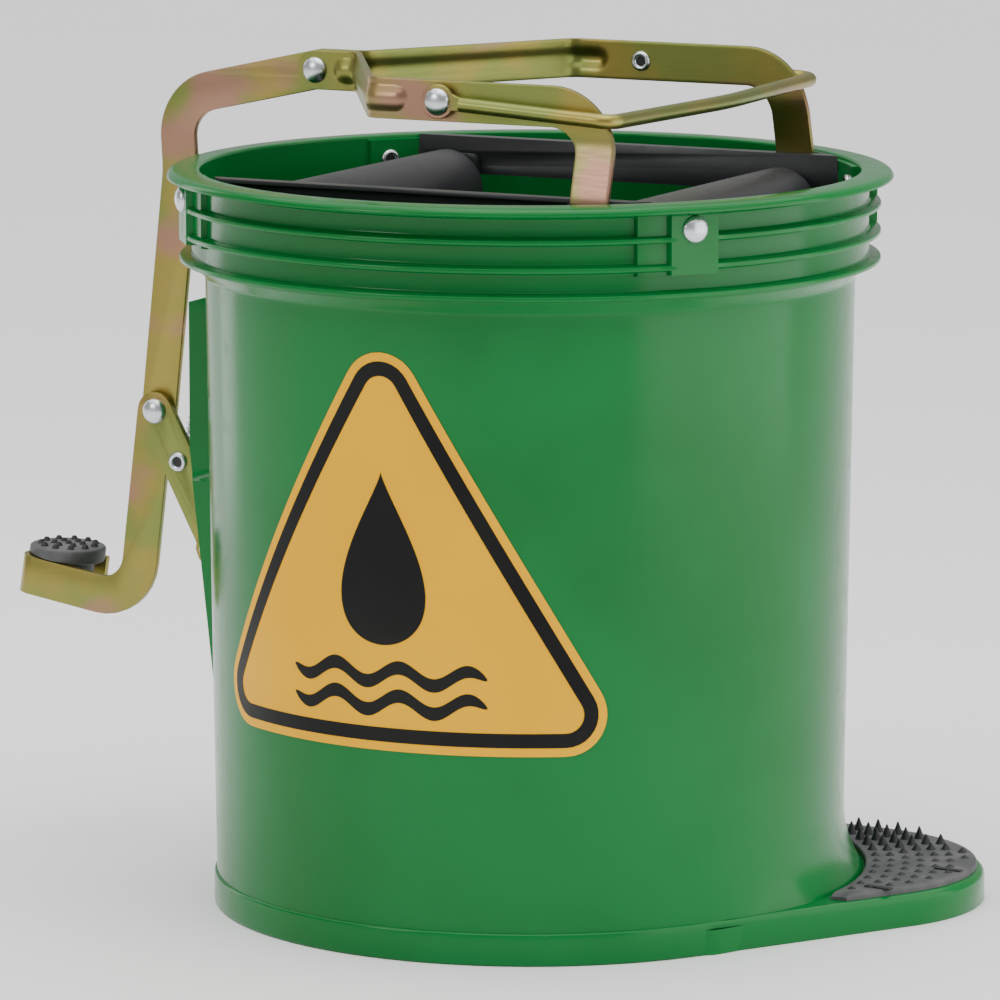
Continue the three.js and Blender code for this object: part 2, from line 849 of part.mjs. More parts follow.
// A section carried along a path without twisting, closed at both ends.
function sweep(path, section) {
  const rings = [];
  let up = new THREE.Vector3(0, 0, 1);
  const last = path.length - 1;
  for (let i = 0; i <= last; i++) {
    const along = path[Math.min(i + 1, last)].clone().sub(path[Math.max(i - 1, 0)]).normalize();
    const across = new THREE.Vector3().crossVectors(along, up).normalize();
    up = new THREE.Vector3().crossVectors(across, along).normalize();
    rings.push(section.map((s) => path[i].clone().addScaledVector(across, s.x).addScaledVector(up, s.y)));
  }
  const position = [];
  const push = (...points) => points.forEach((p) => position.push(p.x, p.y, p.z));
  const sides = section.length;
  for (let i = 0; i < last; i++) {
    for (let k = 0; k < sides; k++) {
      const n = (k + 1) % sides;
      push(rings[i][k], rings[i + 1][n], rings[i][n]);
      push(rings[i][k], rings[i + 1][k], rings[i + 1][n]);
    }
  }
  for (let k = 1; k < sides - 1; k++) {
    push(rings[0][0], rings[0][k], rings[0][k + 1]);
    push(rings[last][0], rings[last][k + 1], rings[last][k]);
  }
  const geometry = new THREE.BufferGeometry();
  geometry.setAttribute("position", new THREE.Float32BufferAttribute(position, 3));
  return geometry;
}

function bailRivet() {
  const seat = bailPlane - bailRod - 0.1 + eyeThickness;
  const grip = seat - (armPlane - armThickness / 2);
  return faceBack(rivet(grip), bailPivotX, seat + gap, armHeight);
}

// ---- Link, pedal lever and spring ---------------------------------------------------------------
function pullLink() {
  const path = rounded([linkTop, linkCorner, linkKnee, linkBottom], [20, 60], 8);
  const half = stripThickness / 2;
  let body = side(ribbon(path, stripWidth, true), -half, half);
  body = body.subtract(pinAlongY(linkTop, rivetShank + gap, -5, 5, 16));
  return body.subtract(pinAlongY(linkBottom, rivetShank + linkPlay, -5, 5, 24));
}

const leverBack = -stripThickness / 2 - 0.3;
const leverFront = leverBack - stripThickness;
const footDirection = v2(-Math.cos(footSlope * RAD), Math.sin(footSlope * RAD));

// A point on the foot strip's middle line, at one X.
function alongFoot(x) {
  return leverCorner.clone().addScaledVector(footDirection, (leverCorner.x - x) / Math.cos(footSlope * RAD));
}

function pedalLever() {
  const leg = rounded([linkBottom, leverCorner, alongFoot(footBend)], [18], 8);
  let body = side(ribbon(leg, stripWidth, true), leverFront, leverBack);
  const strut = ribbon([linkBottom, springPin, pedalPivot], stripWidth, true);
  body = body.add(side(strut, leverFront, leverBack));

  const near = alongFoot(footStart);
  const reach = near.distanceTo(alongFoot(footEnd));
  const middle = (leverFront + leverBack) / 2;
  const back = middle + 2 * padRadius - stripThickness;
  const loop = rounded(
    [
      v2(0, middle),
      v2(-reach + stripThickness / 2, middle),
      v2(-reach + stripThickness / 2, back),
      v2(-reach + 2 * padRadius - 6, back),
    ],
    [5.6, 5.6],
    5,
  );
  const band = plan(ribbon(loop, stripThickness, false), -stripWidth / 2, stripWidth / 2);
  body = body.add(band.rotate([0, footSlope, 0]).translate([near.x, 0, near.y]));

  body = body.subtract(pinAlongY(linkBottom, rivetShank + gap, -20, 5, 16));
  body = body.subtract(pinAlongY(springPin, rivetShank + gap, -20, 5, 16));
  return body.subtract(pinAlongY(pedalPivot, pivotPin + gap, -20, 5, 20));
}

function pedalPad() {
  const near = alongFoot(footStart);
  const reach = near.distanceTo(alongFoot(footEnd));
  const plug = padRadius - stripThickness - 1.2;
  const body = turned(
    [
      [0, -7],
      [plug, -7],
      [plug, 0],
      [padRadius, 0],
      [padRadius, padThickness - 1.5],
      [padRadius - 1.5, padThickness],
      [0, padThickness],
    ],
    32,
  );
  const centreY = (leverFront + leverBack) / 2 + padRadius - stripThickness / 2;
  return body
    .translate([-reach + padRadius, centreY, stripWidth / 2 + gap])
    .rotate([0, footSlope, 0])
    .translate([near.x, 0, near.y]);
}

function bottomRivet() {
  const grip = stripThickness / 2 - leverFront;
  return faceFront(rivet(grip, 6.6), linkBottom.x, leverFront - gap, linkBottom.y);
}

// Its head is at the back, and the spring's lower loop runs round its shank.
function springRivet() {
  const back = springPlane + 5;
  const grip = back - leverFront - gap;
  return faceBack(rivet(grip), springPin.x, back, springPin.y);
}

function pivotBracket(ear, way) {
  const tan = Math.tan(padSlope);
  const faceAt = (z) => -(padFace - (padBend - z) * tan) - 0.3;
  const low = pedalPivot.y - bracketRise;
  const high = pedalPivot.y + bracketRise;
  const tip = stripWidth / 2 + 0.5;
  const outline = [
    v2(faceAt(low), low),
    v2(faceAt(high), high),
    v2(pedalPivot.x - tip * 0.2, pedalPivot.y + tip),
    ...[30, 60, 90, 120, 150].map((a) =>
      v2(pedalPivot.x - tip * Math.sin((a + 6) * RAD), pedalPivot.y + tip * Math.cos((a + 6) * RAD)),
    ),
    v2(pedalPivot.x - tip * 0.2, pedalPivot.y - tip),
  ];
  let body = side(outline.reverse(), ear[0], ear[1]);
  const plate = [
    v2(faceAt(low), low),
    v2(faceAt(low) - bracketSheet, low),
    v2(faceAt(high) - bracketSheet, high),
    v2(faceAt(high), high),
  ].reverse();
  const from = way < 0 ? ear[0] - bracketFoot : ear[1] - 1;
  const to = way < 0 ? ear[0] + 1 : ear[1] + bracketFoot;
  body = body.add(side(plate, from, to));
  const y = way < 0 ? bracketRivetY[0] : bracketRivetY[1];
  for (const up of bracketRivetUp) body = body.subtract(onPad(disc(2.5 + gap, -4, 10, 16), y, up));
  return body.subtract(pinAlongY(pedalPivot, pivotPin + gap, ear[0] - 1, ear[1] + 1, 20));
}

function bracketRivet(y, up) {
  const seat = bracketSheet + 0.3 + gap;
  return onPad(stud(2.5, studLength + seat, 4.4, 2.2).translate([0, 0, seat]), y, up);
}

function pivotPinBody() {
  const grip = earBack[1] - earFront[0] + 2 * gap;
  const body = turned(
    [
      [0, -grip - 2],
      [pivotPin + 1.6, -grip - 2],
      [pivotPin + 2, -grip],
      [pivotPin, -grip],
      [pivotPin, 0],
      [pivotPin + 2.4, 0],
      [pivotPin + 1.6, 2],
      [0, 2.8],
    ],
    20,
  );
  return faceFront(body, pedalPivot.x, earFront[0] - gap, pedalPivot.y);
}

function anchorStud() {
  const length = -springAnchor.x - padFace + 3;
  const body = stud(2.5, length + studLength, 4, 1.8).rotate([0, -90, 0]);
  return body.translate([-padFace - length, springPlane, springAnchor.y]);
}

// An extension spring: a loop round the lever's rivet, close coils, and a loop round the anchor.
function springPath() {
  const low = new THREE.Vector3(springPin.x, springPlane, springPin.y);
  const high = new THREE.Vector3(springAnchor.x, springPlane, springAnchor.y);
  const along = high.clone().sub(low).normalize();
  const across = new THREE.Vector3(0, 1, 0);
  const third = new THREE.Vector3().crossVectors(along, across);
  const lowLoop = rivetShank + gap + springWire + 0.3;
  const highLoop = 2.5 + gap + springWire + 0.3;
  const points = [];
  for (let k = 0; k <= 10; k++) {
    const angle = (-60 + 24 * k) * RAD;
    const out = third.clone().multiplyScalar(lowLoop * Math.cos(angle));
    points.push(low.clone().add(out).addScaledVector(along, -lowLoop * Math.sin(angle)));
  }
  const start = 9;
  const stop = low.distanceTo(high) - 9;
  const turns = 9;
  const steps = turns * 8;
  for (let k = 0; k <= steps; k++) {
    const angle = Math.PI + (turns * 2 * Math.PI * k) / steps;
    const ring = third.clone().multiplyScalar(springCoil * Math.cos(angle));
    ring.addScaledVector(across, springCoil * Math.sin(angle));
    points.push(low.clone().addScaledVector(along, start + ((stop - start) * k) / steps).add(ring));
  }
  for (let k = 0; k <= 10; k++) {
    const angle = (-150 + 27 * k) * RAD;
    const out = across.clone().multiplyScalar(highLoop * Math.sin(angle));
    points.push(high.clone().add(out).add(new THREE.Vector3(0, 0, highLoop * Math.cos(angle))));
  }
  return points;
}

function returnSpring() {
  const section = [];
  for (let k = 0; k < 4; k++) {
    const angle = (k * Math.PI) / 2;
    section.push(v2(springWire * Math.cos(angle), springWire * Math.sin(angle)));
  }
  return solid(sweep(springPath(), section));
}

// ---- Assembly -----------------------------------------------------------------------------------
const colours = {
  plastic: 0x1f8a4c,
  rubber: 0x18181a,
  label: 0xe3b324,
  rail: 0x2c2e31,
  roller: 0x46484c,
  zinc: 0xa89a4a,
  rivet: 0xc9ced2,
};

const part = new THREE.Group();
part.name = "pedal_wringer_bucket";

function add(name, body, colour) {
  const metal = colour === "zinc" || colour === "rivet" ? 0.9 : 0;
  const material = new THREE.MeshStandardMaterial({
    color: colours[colour],
    metalness: metal,
    roughness: colour === "rubber" ? 0.8 : 0.4,
  });
  const mesh = new THREE.Mesh(geometryOf(body), material);
  mesh.name = name;
  part.add(mesh);
}

add("bucket_shell", bucketShell(), "plastic");
add("foot_grip", footGrip(), "rubber");
add("label_sticker", labelSticker(), "label");
add("side_rail_back", sideRail(), "rail");
add("side_rail_front", mirrorY(sideRail()), "rail");
const rivetNames = ["back_step", "back_pedal", "front_pedal", "front_step"];
rivetAngles.forEach((angle, i) => add(`rail_rivet_${rivetNames[i]}`, railRivet(angle), "rivet"));
add("fixed_roller", roller(fixedRollerX), "roller");
add("fixed_roller_axle", fixedAxle(), "rivet");
add("bearing_block_back", bearingBlock(), "rail");
add("bearing_block_front", mirrorY(bearingBlock()), "rail");
add("moving_roller", roller(movingRollerX), "roller");
add("moving_roller_axle", movingAxle(), "rivet");
add("slide_shoe_back", slideShoe(), "rail");
add("slide_shoe_front", mirrorY(slideShoe()), "rail");
add("shoe_rivet_back", shoeRivet(), "rivet");
add("shoe_rivet_front", mirrorY(shoeRivet()), "rivet");
add("frame_arm_back", frameArm(), "zinc");
add("frame_arm_front", mirrorY(frameArm()), "zinc");
add("link_rivet_top", topRivet(), "rivet");
add("carry_bail", carryBail(), "zinc");
add("bail_rivet_back", bailRivet(), "rivet");
add("bail_rivet_front", mirrorY(bailRivet()), "rivet");
add("pull_link", pullLink(), "zinc");
add("pedal_lever", pedalLever(), "zinc");
add("link_rivet_bottom", bottomRivet(), "rivet");
add("spring_rivet", springRivet(), "rivet");
add("pedal_pad", pedalPad(), "rubber");
add("pivot_bracket_front", pivotBracket(earFront, -1), "zinc");
add("pivot_bracket_back", pivotBracket(earBack, 1), "zinc");
add("pedal_pivot_pin", pivotPinBody(), "rivet");
const sideNames = ["front", "back"];
const levelNames = ["lower", "upper"];
bracketRivetY.forEach((y, i) => {
  bracketRivetUp.forEach((up, j) => {
    add(`bracket_rivet_${sideNames[i]}_${levelNames[j]}`, bracketRivet(y, up), "rivet");
  });
});
add("spring_anchor", anchorStud(), "rivet");
add("return_spring", returnSpring(), "rivet");

export default part;
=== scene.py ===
# %% [markdown]
# # A mop bucket with a pedal wringer
# The real object is a moulded green bucket. Two plastic rollers lie across its mouth, one fixed and one in
# a sliding steel frame. A pedal on the wall pulls the frame through a flat link, and the rollers close on
# the mop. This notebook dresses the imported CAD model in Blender: it keeps every size and every moving
# body, and builds smoother, more detailed pieces in the same places.

import json
import math

import bmesh
import bpy
import numpy as np
from mathutils import Matrix, Vector


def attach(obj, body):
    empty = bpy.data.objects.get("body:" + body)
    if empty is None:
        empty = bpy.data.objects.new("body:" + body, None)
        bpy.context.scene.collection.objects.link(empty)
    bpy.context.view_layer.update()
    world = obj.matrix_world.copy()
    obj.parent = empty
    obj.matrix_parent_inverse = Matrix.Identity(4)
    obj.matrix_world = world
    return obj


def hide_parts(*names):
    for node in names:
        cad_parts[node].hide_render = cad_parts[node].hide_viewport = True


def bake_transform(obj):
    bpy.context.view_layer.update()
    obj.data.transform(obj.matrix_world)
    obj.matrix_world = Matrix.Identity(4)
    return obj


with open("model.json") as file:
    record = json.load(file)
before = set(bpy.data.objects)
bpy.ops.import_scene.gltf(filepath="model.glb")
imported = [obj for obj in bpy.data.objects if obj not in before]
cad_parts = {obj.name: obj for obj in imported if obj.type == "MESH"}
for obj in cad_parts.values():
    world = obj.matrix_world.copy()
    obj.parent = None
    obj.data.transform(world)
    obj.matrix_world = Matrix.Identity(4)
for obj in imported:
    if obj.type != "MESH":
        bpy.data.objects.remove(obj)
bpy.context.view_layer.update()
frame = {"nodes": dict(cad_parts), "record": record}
MM = 0.001

# %% [markdown]
# ## Sizes
# Every piece below is placed from these few sizes, which are the ones that the CAD source drives from.
# They are in millimetres, because a maker reads a bucket in millimetres, and become metres only where a
# mesh is made.

# %% Driving sizes
GAP = 0.35
RIM_HEIGHT = 308
FLANGE_RADIUS = 150
BASE_RADIUS = FLANGE_RADIUS - 19
WALL = 3
FLOOR = 4
STRIP_WIDTH = 16.5
LINK_SHEET = 3
ARM_SHEET = 2.5
RIVET_SHANK = 3
RIVET_HEAD = 5.6
OPENING_RADIUS = FLANGE_RADIUS - 13.5
RIB_RADIUS = FLANGE_RADIUS - 5
COLLAR_RADIUS = RIB_RADIUS - 5
SHOULDER_RADIUS = COLLAR_RADIUS - 5.5
TOP_RIB = RIM_HEIGHT - 14.2
RIB_PITCH = 11.2
RIB_HEIGHTS = [TOP_RIB - i * RIB_PITCH for i in (2, 1, 0)]
SHOULDER_HEIGHT = RIB_HEIGHTS[0] - 7.4
BAND_HEIGHT = 13.5
BAND_RADIUS = BASE_RADIUS + 1.3
PLATFORM_ANGLE = math.radians(27)
PLATFORM_REACH = FLANGE_RADIUS + 41
PLATFORM_TIP = PLATFORM_REACH * 0.366
PLATFORM_OUT = PLATFORM_REACH - PLATFORM_TIP
TANGENT = math.acos((BAND_RADIUS - PLATFORM_TIP) / PLATFORM_OUT)
RAIL_FACE = FLANGE_RADIUS * 0.607
ARM_HEIGHT = RIM_HEIGHT + 36
MOVING_ROLLER_X = FLANGE_RADIUS * 0.503
FIXED_ROLLER_X = -FLANGE_RADIUS * 0.54
ROLLER_HEIGHT = RIM_HEIGHT - 22
print("rib heights:", RIB_HEIGHTS, "shoulder:", SHOULDER_HEIGHT)

# %% [markdown]
# ## Small tools for shapes
# Nearly everything here is a path with rounded corners: a wall profile, a bent strip, a rod. So one
# function rounds corners, one spreads points evenly, and one lays a skin over a row of rings. Every skin
# has the points that meet on an axis merged and its faces turned outwards, so a pole is always closed.


# %% Paths with rounded corners
def round_corners(points, radii, steps=8):
    """A flat path whose inner corners are rounded, each by its own radius."""
    points = [Vector(p) for p in points]
    path = [points[0]]
    for before, corner, after, radius in zip(points, points[1:], points[2:], radii):
        back = (before - corner).normalized()
        ahead = (after - corner).normalized()
        half = math.acos(max(-1.0, min(1.0, back.dot(ahead)))) / 2
        centre = corner + (back + ahead).normalized() * radius / math.sin(half)
        start = corner + back * radius / math.tan(half) - centre
        end = corner + ahead * radius / math.tan(half) - centre
        first = math.atan2(start.y, start.x)
        turn = (math.atan2(end.y, end.x) - first + math.pi) % math.tau - math.pi
        for k in range(steps + 1):
            angle = first + turn * k / steps
            path.append(centre + Vector((math.cos(angle), math.sin(angle))) * radius)
    return [*path, points[-1]]


def spread(points, spacing):
    """The same path with its points an even distance apart."""
    points = np.array(points, float)
    along = np.concatenate([[0], np.cumsum(np.linalg.norm(np.diff(points, axis=0), axis=1))])
    stations = np.linspace(0, along[-1], max(2, int(along[-1] / spacing) + 1))
    return np.stack([np.interp(stations, along, points[:, i]) for i in range(points.shape[1])], 1)


def ribbon(path, width):
    """The outline of a strip along a path, with half-round ends."""
    path = [Vector(p) for p in path]
    left, right = [], []
    for i, point in enumerate(path):
        along = (path[min(i + 1, len(path) - 1)] - path[max(i - 1, 0)]).normalized()
        across = Vector((-along.y, along.x)) * width / 2
        left.append(point + across)
        right.append(point - across)
    ends = []
    for edge, centre in ((left[-1], path[-1]), (right[0], path[0])):
        arm = edge - centre
        turns = [-math.pi * k / 20 for k in range(1, 20)]
        ends.append([centre + Matrix.Rotation(t, 2) @ arm for t in turns])
    return [*left, *ends[0], *right[::-1], *ends[1]]


def polar(radius, angle, z):
    return (radius * math.cos(angle), radius * math.sin(angle), z)


def full_turn(count):
    """Evenly spaced angles all the way round."""
    return [math.tau * k / count for k in range(count)]


# %% Meshes from points
MERGE_DISTANCE = 2e-6
SHARP = 35


def shade(mesh, sharp):
    """Smooth shading, with a sharp edge past an angle in degrees."""
    mesh.shade_smooth()
    mesh.set_sharp_from_angle(angle=math.radians(sharp))


def rework(mesh, change):
    """Merges a mesh's doubles, then makes one change to it."""
    work = bmesh.new()
    work.from_mesh(mesh)
    bmesh.ops.remove_doubles(work, verts=work.verts, dist=MERGE_DISTANCE)
    change(work)
    work.to_mesh(mesh)
    work.free()


def close_mesh(mesh, sharp):
    """Merges doubles, turns the faces outwards, and shades the mesh."""
    rework(mesh, lambda work: bmesh.ops.recalc_face_normals(work, faces=work.faces))
    shade(mesh, sharp)


def bare_mesh(name, points, faces, edges=()):
    """A mesh from points in millimetres."""
    mesh = bpy.data.meshes.new(name)
    mesh.from_pydata([Vector(p) * MM for p in points], list(edges), faces)
    return mesh


def put_in_scene(name, data):
    holder = bpy.data.objects.new(name, data)
    bpy.context.scene.collection.objects.link(holder)
    return holder


def new_object(name, mesh, material):
    mesh.materials.clear()
    mesh.materials.append(material)
    return put_in_scene(name, mesh)


def make_piece(name, points, faces, material, sharp=SHARP):
    """A closed piece from points in millimetres."""
    mesh = bare_mesh(name, points, faces)
    close_mesh(mesh, sharp)
    print(f"{name}: {len(mesh.polygons)} faces")
    return new_object(name, mesh, material)


def skin(name, rings, material, loop=False, sharp=SHARP):
    """A closed skin over rings of equal length. With loop, the last ring joins the first."""
    count = len(rings[0])
    points = [p for ring in rings for p in ring]
    spans = [(i, i + 1) for i in range(len(rings) - 1)]
    if loop:
        spans.append((len(rings) - 1, 0))
    faces = []
    for a, b in spans:
        for k in range(count):
            n = (k + 1) % count
            faces.append((a * count + k, a * count + n, b * count + n, b * count + k))
    if not loop:
        faces.append(tuple(range(count)))
        faces.append(tuple(range(len(points) - count, len(points))))
    return make_piece(name, points, faces, material, sharp)


def evaluated_mesh(holder):
    graph = bpy.context.evaluated_depsgraph_get()
    return bpy.data.meshes.new_from_object(holder.evaluated_get(graph))


def add_thickness(piece, thickness, offset):
    solid = piece.modifiers.new("sheet", "SOLIDIFY")
    solid.thickness = thickness * MM
    solid.offset = offset


def add_bevel(piece, width):
    """Small two-step bevels on the edges that are sharp enough to cut."""
    bevel = piece.modifiers.new("edges", "BEVEL")
    bevel.width = width * MM
    bevel.segments = 2
    bevel.limit_method = "ANGLE"
    bevel.angle_limit = math.radians(50)


def apply_modifiers(piece, sharp=SHARP):
    """Makes the piece's mesh what its modifiers leave, and removes them."""
    mesh = evaluated_mesh(piece)
    piece.modifiers.clear()
    piece.data = mesh
    shade(mesh, sharp)
    return piece


def join(name, pieces):
    """Several pieces of one material as one piece."""
    work = bmesh.new()
    for piece in pieces:
        work.from_mesh(piece.data)
    mesh = bpy.data.meshes.new(name)
    work.to_mesh(mesh)
    work.free()
    material = pieces[0].data.materials[0]
    for piece in pieces:
        bpy.data.objects.remove(piece)
    shade(mesh, SHARP)
    return new_object(name, mesh, material)


# %% [markdown]
# ## Tools for node trees
# A material is a small calculation over the surface. Written as Python expressions it reads like one:
# `Wire` stands for a socket and adds Math nodes when it is added or multiplied, and `Board.node` makes
# any other node. The same board builds the Geometry Nodes trees further down.


# %% Wires and boards
class Wire:
    """An output socket that does arithmetic."""

    def __init__(self, board, socket):
        self.board = board
        self.socket = socket

    def math(self, operation, *values):
        return self.board.node("ShaderNodeMath", {"operation": operation}, dict(enumerate((self, *values))))

    def __add__(self, other):
        return self.math("ADD", other)

    def __mul__(self, other):
        return self.math("MULTIPLY", other)

    def __sub__(self, other):
        return self.math("SUBTRACT", other)

    def __rsub__(self, other):
        return self.math("MULTIPLY", -1) + other

    __radd__ = __add__
    __rmul__ = __mul__


class Board:
    """A node tree, and the one method that adds a node to it."""

    def __init__(self, tree):
        self.tree = tree

    def node(self, kind, settings=None, inputs=None, output=0):
        node = self.tree.nodes.new(kind)
        for key, value in (settings or {}).items():
            setattr(node, key, value)
        for key, value in (inputs or {}).items():
            if isinstance(value, Wire):
                self.tree.links.new(value.socket, node.inputs[key])
            else:
                node.inputs[key].default_value = value
        return Wire(self, node.outputs[output]) if node.outputs else None

    def noise(self, where, scale, detail=2.0):
        return self.node("ShaderNodeTexNoise", {}, {"Vector": where, "Scale": scale, "Detail": detail})

    def mask(self, value, low, high):
        """0 below low, 1 above high, and smooth between."""
        limits = {"Value": value, "From Min": low, "From Max": high}
        return self.node("ShaderNodeMapRange", {"interpolation_type": "SMOOTHSTEP"}, limits)

    def blend_colour(self, factor, first, second):
        return self.node("ShaderNodeMix", {"data_type": "RGBA"}, {0: factor, 6: first, 7: second}, 2)

    def stretched(self, where, scale):
        return self.node("ShaderNodeMapping", {}, {"Vector": where, "Scale": scale})


def new_finish(name, describe):
    """A material whose describe(board, where) returns the Principled shader's inputs."""
    material = bpy.data.materials.new(name)
    material.use_nodes = True
    material.node_tree.nodes.clear()
    board = Board(material.node_tree)
    where = board.node("ShaderNodeTexCoord", output="Object")
    shader = board.node("ShaderNodeBsdfPrincipled", {}, describe(board, where))
    board.node("ShaderNodeOutputMaterial", {}, {"Surface": shader})
    print("finish", name, "with", len(material.node_tree.nodes), "nodes")
    return material


def relief(board, height, distance, strength=1.0):
    return board.node("ShaderNodeBump", {}, {"Height": height, "Distance": distance, "Strength": strength})


# %% [markdown]
# ## Plastics and rubber
# Moulded polypropylene is glossy but never a mirror. Its skin has an orange peel of a few millimetres,
# its colour drifts a little where the melt cooled at different speeds, and handling leaves fine matt
# scuffs. So the colour follows a slow noise, the gloss a fine one, and the scuffs a masked one between.
# Rubber is the same idea without the gloss. Its lighter colour is partly dust and partly a painted highlight.


# %% Plastic and rubber finishes
def plastic(dark, light, gloss, peel, shine):
    def describe(board, where):
        drift = board.noise(where, 9, 3)
        grain = board.noise(where, 700, 2)
        scuffs = board.mask(board.noise(where, 90, 4), 0.5, 0.7)
        colour = board.blend_colour(board.mask(drift, 0.35, 0.65), dark, light)
        return {
            "Base Color": colour,
            "Roughness": gloss + grain * 0.05 + scuffs * 0.08,
            "Specular IOR Level": shine,
            "Normal": relief(board, board.noise(where, 260, 2), peel),
        }

    return describe


def rubber(dark, light):
    def describe(board, where):
        # Lighter patches: partly dust, partly a painted highlight on the rubber.
        dust_and_sheen = board.mask(board.noise(where, 60, 4), 0.4, 0.7)
        grain = board.noise(where, 1800, 3)
        return {
            "Base Color": board.blend_colour(dust_and_sheen, dark, light),
            "Roughness": 0.55 + dust_and_sheen * 0.2,
            "Normal": relief(board, grain, 0.00015),
        }

    return describe


GREENS = ((0.001, 0.13, 0.022, 1), (0.002, 0.155, 0.03, 1))
CHARCOALS = ((0.014, 0.015, 0.017, 1), (0.021, 0.022, 0.024, 1))
GREYS = ((0.019, 0.0195, 0.021, 1), (0.031, 0.0315, 0.034, 1))
green_plastic = new_finish("green_plastic", plastic(*GREENS, 0.15, 0.00002, 0.22))
rail_plastic = new_finish("charcoal_plastic", plastic(*CHARCOALS, 0.3, 0.00004, 0.4))
roller_plastic = new_finish("roller_plastic", plastic(*GREYS, 0.36, 0.00006, 0.4))
# The grip rubber's grey is partly dust and partly a painted highlight of its lit top. The stud rubber keeps
# the black.
grip_rubber = new_finish("grip_rubber", rubber((0.055, 0.055, 0.058, 1), (0.11, 0.108, 0.108, 1)))
stud_rubber = new_finish("stud_rubber", rubber((0.009, 0.009, 0.01, 1), (0.022, 0.022, 0.023, 1)))

# %% [markdown]
# ## Zinc passivate, bright rivets and printed film
# The steel strips carry a yellow zinc passivate: a thin film whose thickness varies, so that its colour
# wanders between olive gold, rose and green in patches a few centimetres across. Two slow noises choose
# between the three colours. A fine noise stretched along X gives the rolled grain. The rivets are
# plain bright plating. The label is a printed film with a slight gloss.


# %% Metal and film finishes
def zinc(board, where):
    patches = board.mask(board.noise(where, 26, 2), 0.38, 0.62)
    rose = board.mask(board.noise(board.stretched(where, (17, 11, 31)), 1.0, 2), 0.5, 0.66)
    grain = board.noise(board.stretched(where, (90, 400, 900)), 1.0, 3)
    colour = board.blend_colour(patches, (0.3, 0.24, 0.06, 1), (0.2, 0.23, 0.06, 1))
    return {
        "Base Color": board.blend_colour(rose * 0.8, colour, (0.36, 0.17, 0.14, 1)),
        "Metallic": 0.92,
        "Roughness": 0.27 + grain * 0.16,
        "Normal": relief(board, grain, 0.00003),
    }


def bright_steel(board, where):
    grain = board.noise(where, 900, 3)
    return {
        "Base Color": board.blend_colour(grain, (0.58, 0.6, 0.63, 1), (0.68, 0.7, 0.72, 1)),
        "Metallic": 1.0,
        "Roughness": 0.2 + grain * 0.14,
        "Normal": relief(board, board.noise(where, 300, 2), 0.00001),
    }


def film(dark, light):
    def describe(board, where):
        fade = board.mask(board.noise(where, 14, 3), 0.3, 0.7)
        return {
            "Base Color": board.blend_colour(fade, dark, light),
            "Roughness": 0.3 + board.noise(where, 400, 2) * 0.1,
            "Specular IOR Level": 0.12,
            "Normal": relief(board, board.noise(where, 300, 2), 0.00001),
        }

    return describe


zinc_steel = new_finish("zinc_passivate", zinc)
rivet_steel = new_finish("bright_plate", bright_steel)
label_yellow = new_finish("label_yellow", film((0.78, 0.385, 0, 1), (0.84, 0.42, 0, 1)))
label_ink = new_finish("label_ink", film((0.006, 0.006, 0.006, 1), (0.012, 0.012, 0.011, 1)))

# %% [markdown]
# ## The bucket wall
# The wall is a turned shape with three things that aren't turned: the flare over the step platform, the
# flat that carries the pedal, and the bosses and pads of the rail rivets. Booleans would give those hard
# seams. Here the wall is one grid of heights and angles, and each feature only moves the radius where it
# lies. Extra angles on both sides of each step keep its edge crisp, about half a millimetre wide, which
# is what a mould's corner looks like.


# %% Wall profile
def wall_radius(z):
    return BASE_RADIUS + (SHOULDER_RADIUS - BASE_RADIUS) * z / SHOULDER_HEIGHT


BAND_FILLET = 1.2
FLARE = 9
FLARE_HEIGHT = 30
FLAT_FACE = FLANGE_RADIUS - 8.5
FLAT_HALF = 37
FLAT_BEND = RIM_HEIGHT * 0.6
FLAT_FOOT = RIM_HEIGHT * 0.234
PAD_PROUD = 2.5
WALL_ROWS = 76
SOCKET_DEPTH = 2
SOCKET_TURN = math.radians(4)
BOSS_LOW = RIM_HEIGHT - 28.5
BOSS_HIGH = RIM_HEIGHT - 4.6
BOSS_HALF = math.asin(10.7 / RIB_RADIUS)
RECESS = BOSS_HALF + math.radians(5.3)
RIVET_ANGLE = math.asin((RAIL_FACE + 1.5) / (OPENING_RADIUS + 1.3)) - math.radians(5.2)
RIVET_ANGLES = [RIVET_ANGLE, math.pi - RIVET_ANGLE, math.pi + RIVET_ANGLE, math.tau - RIVET_ANGLE]
SOCKET_LOW = RIM_HEIGHT - 18


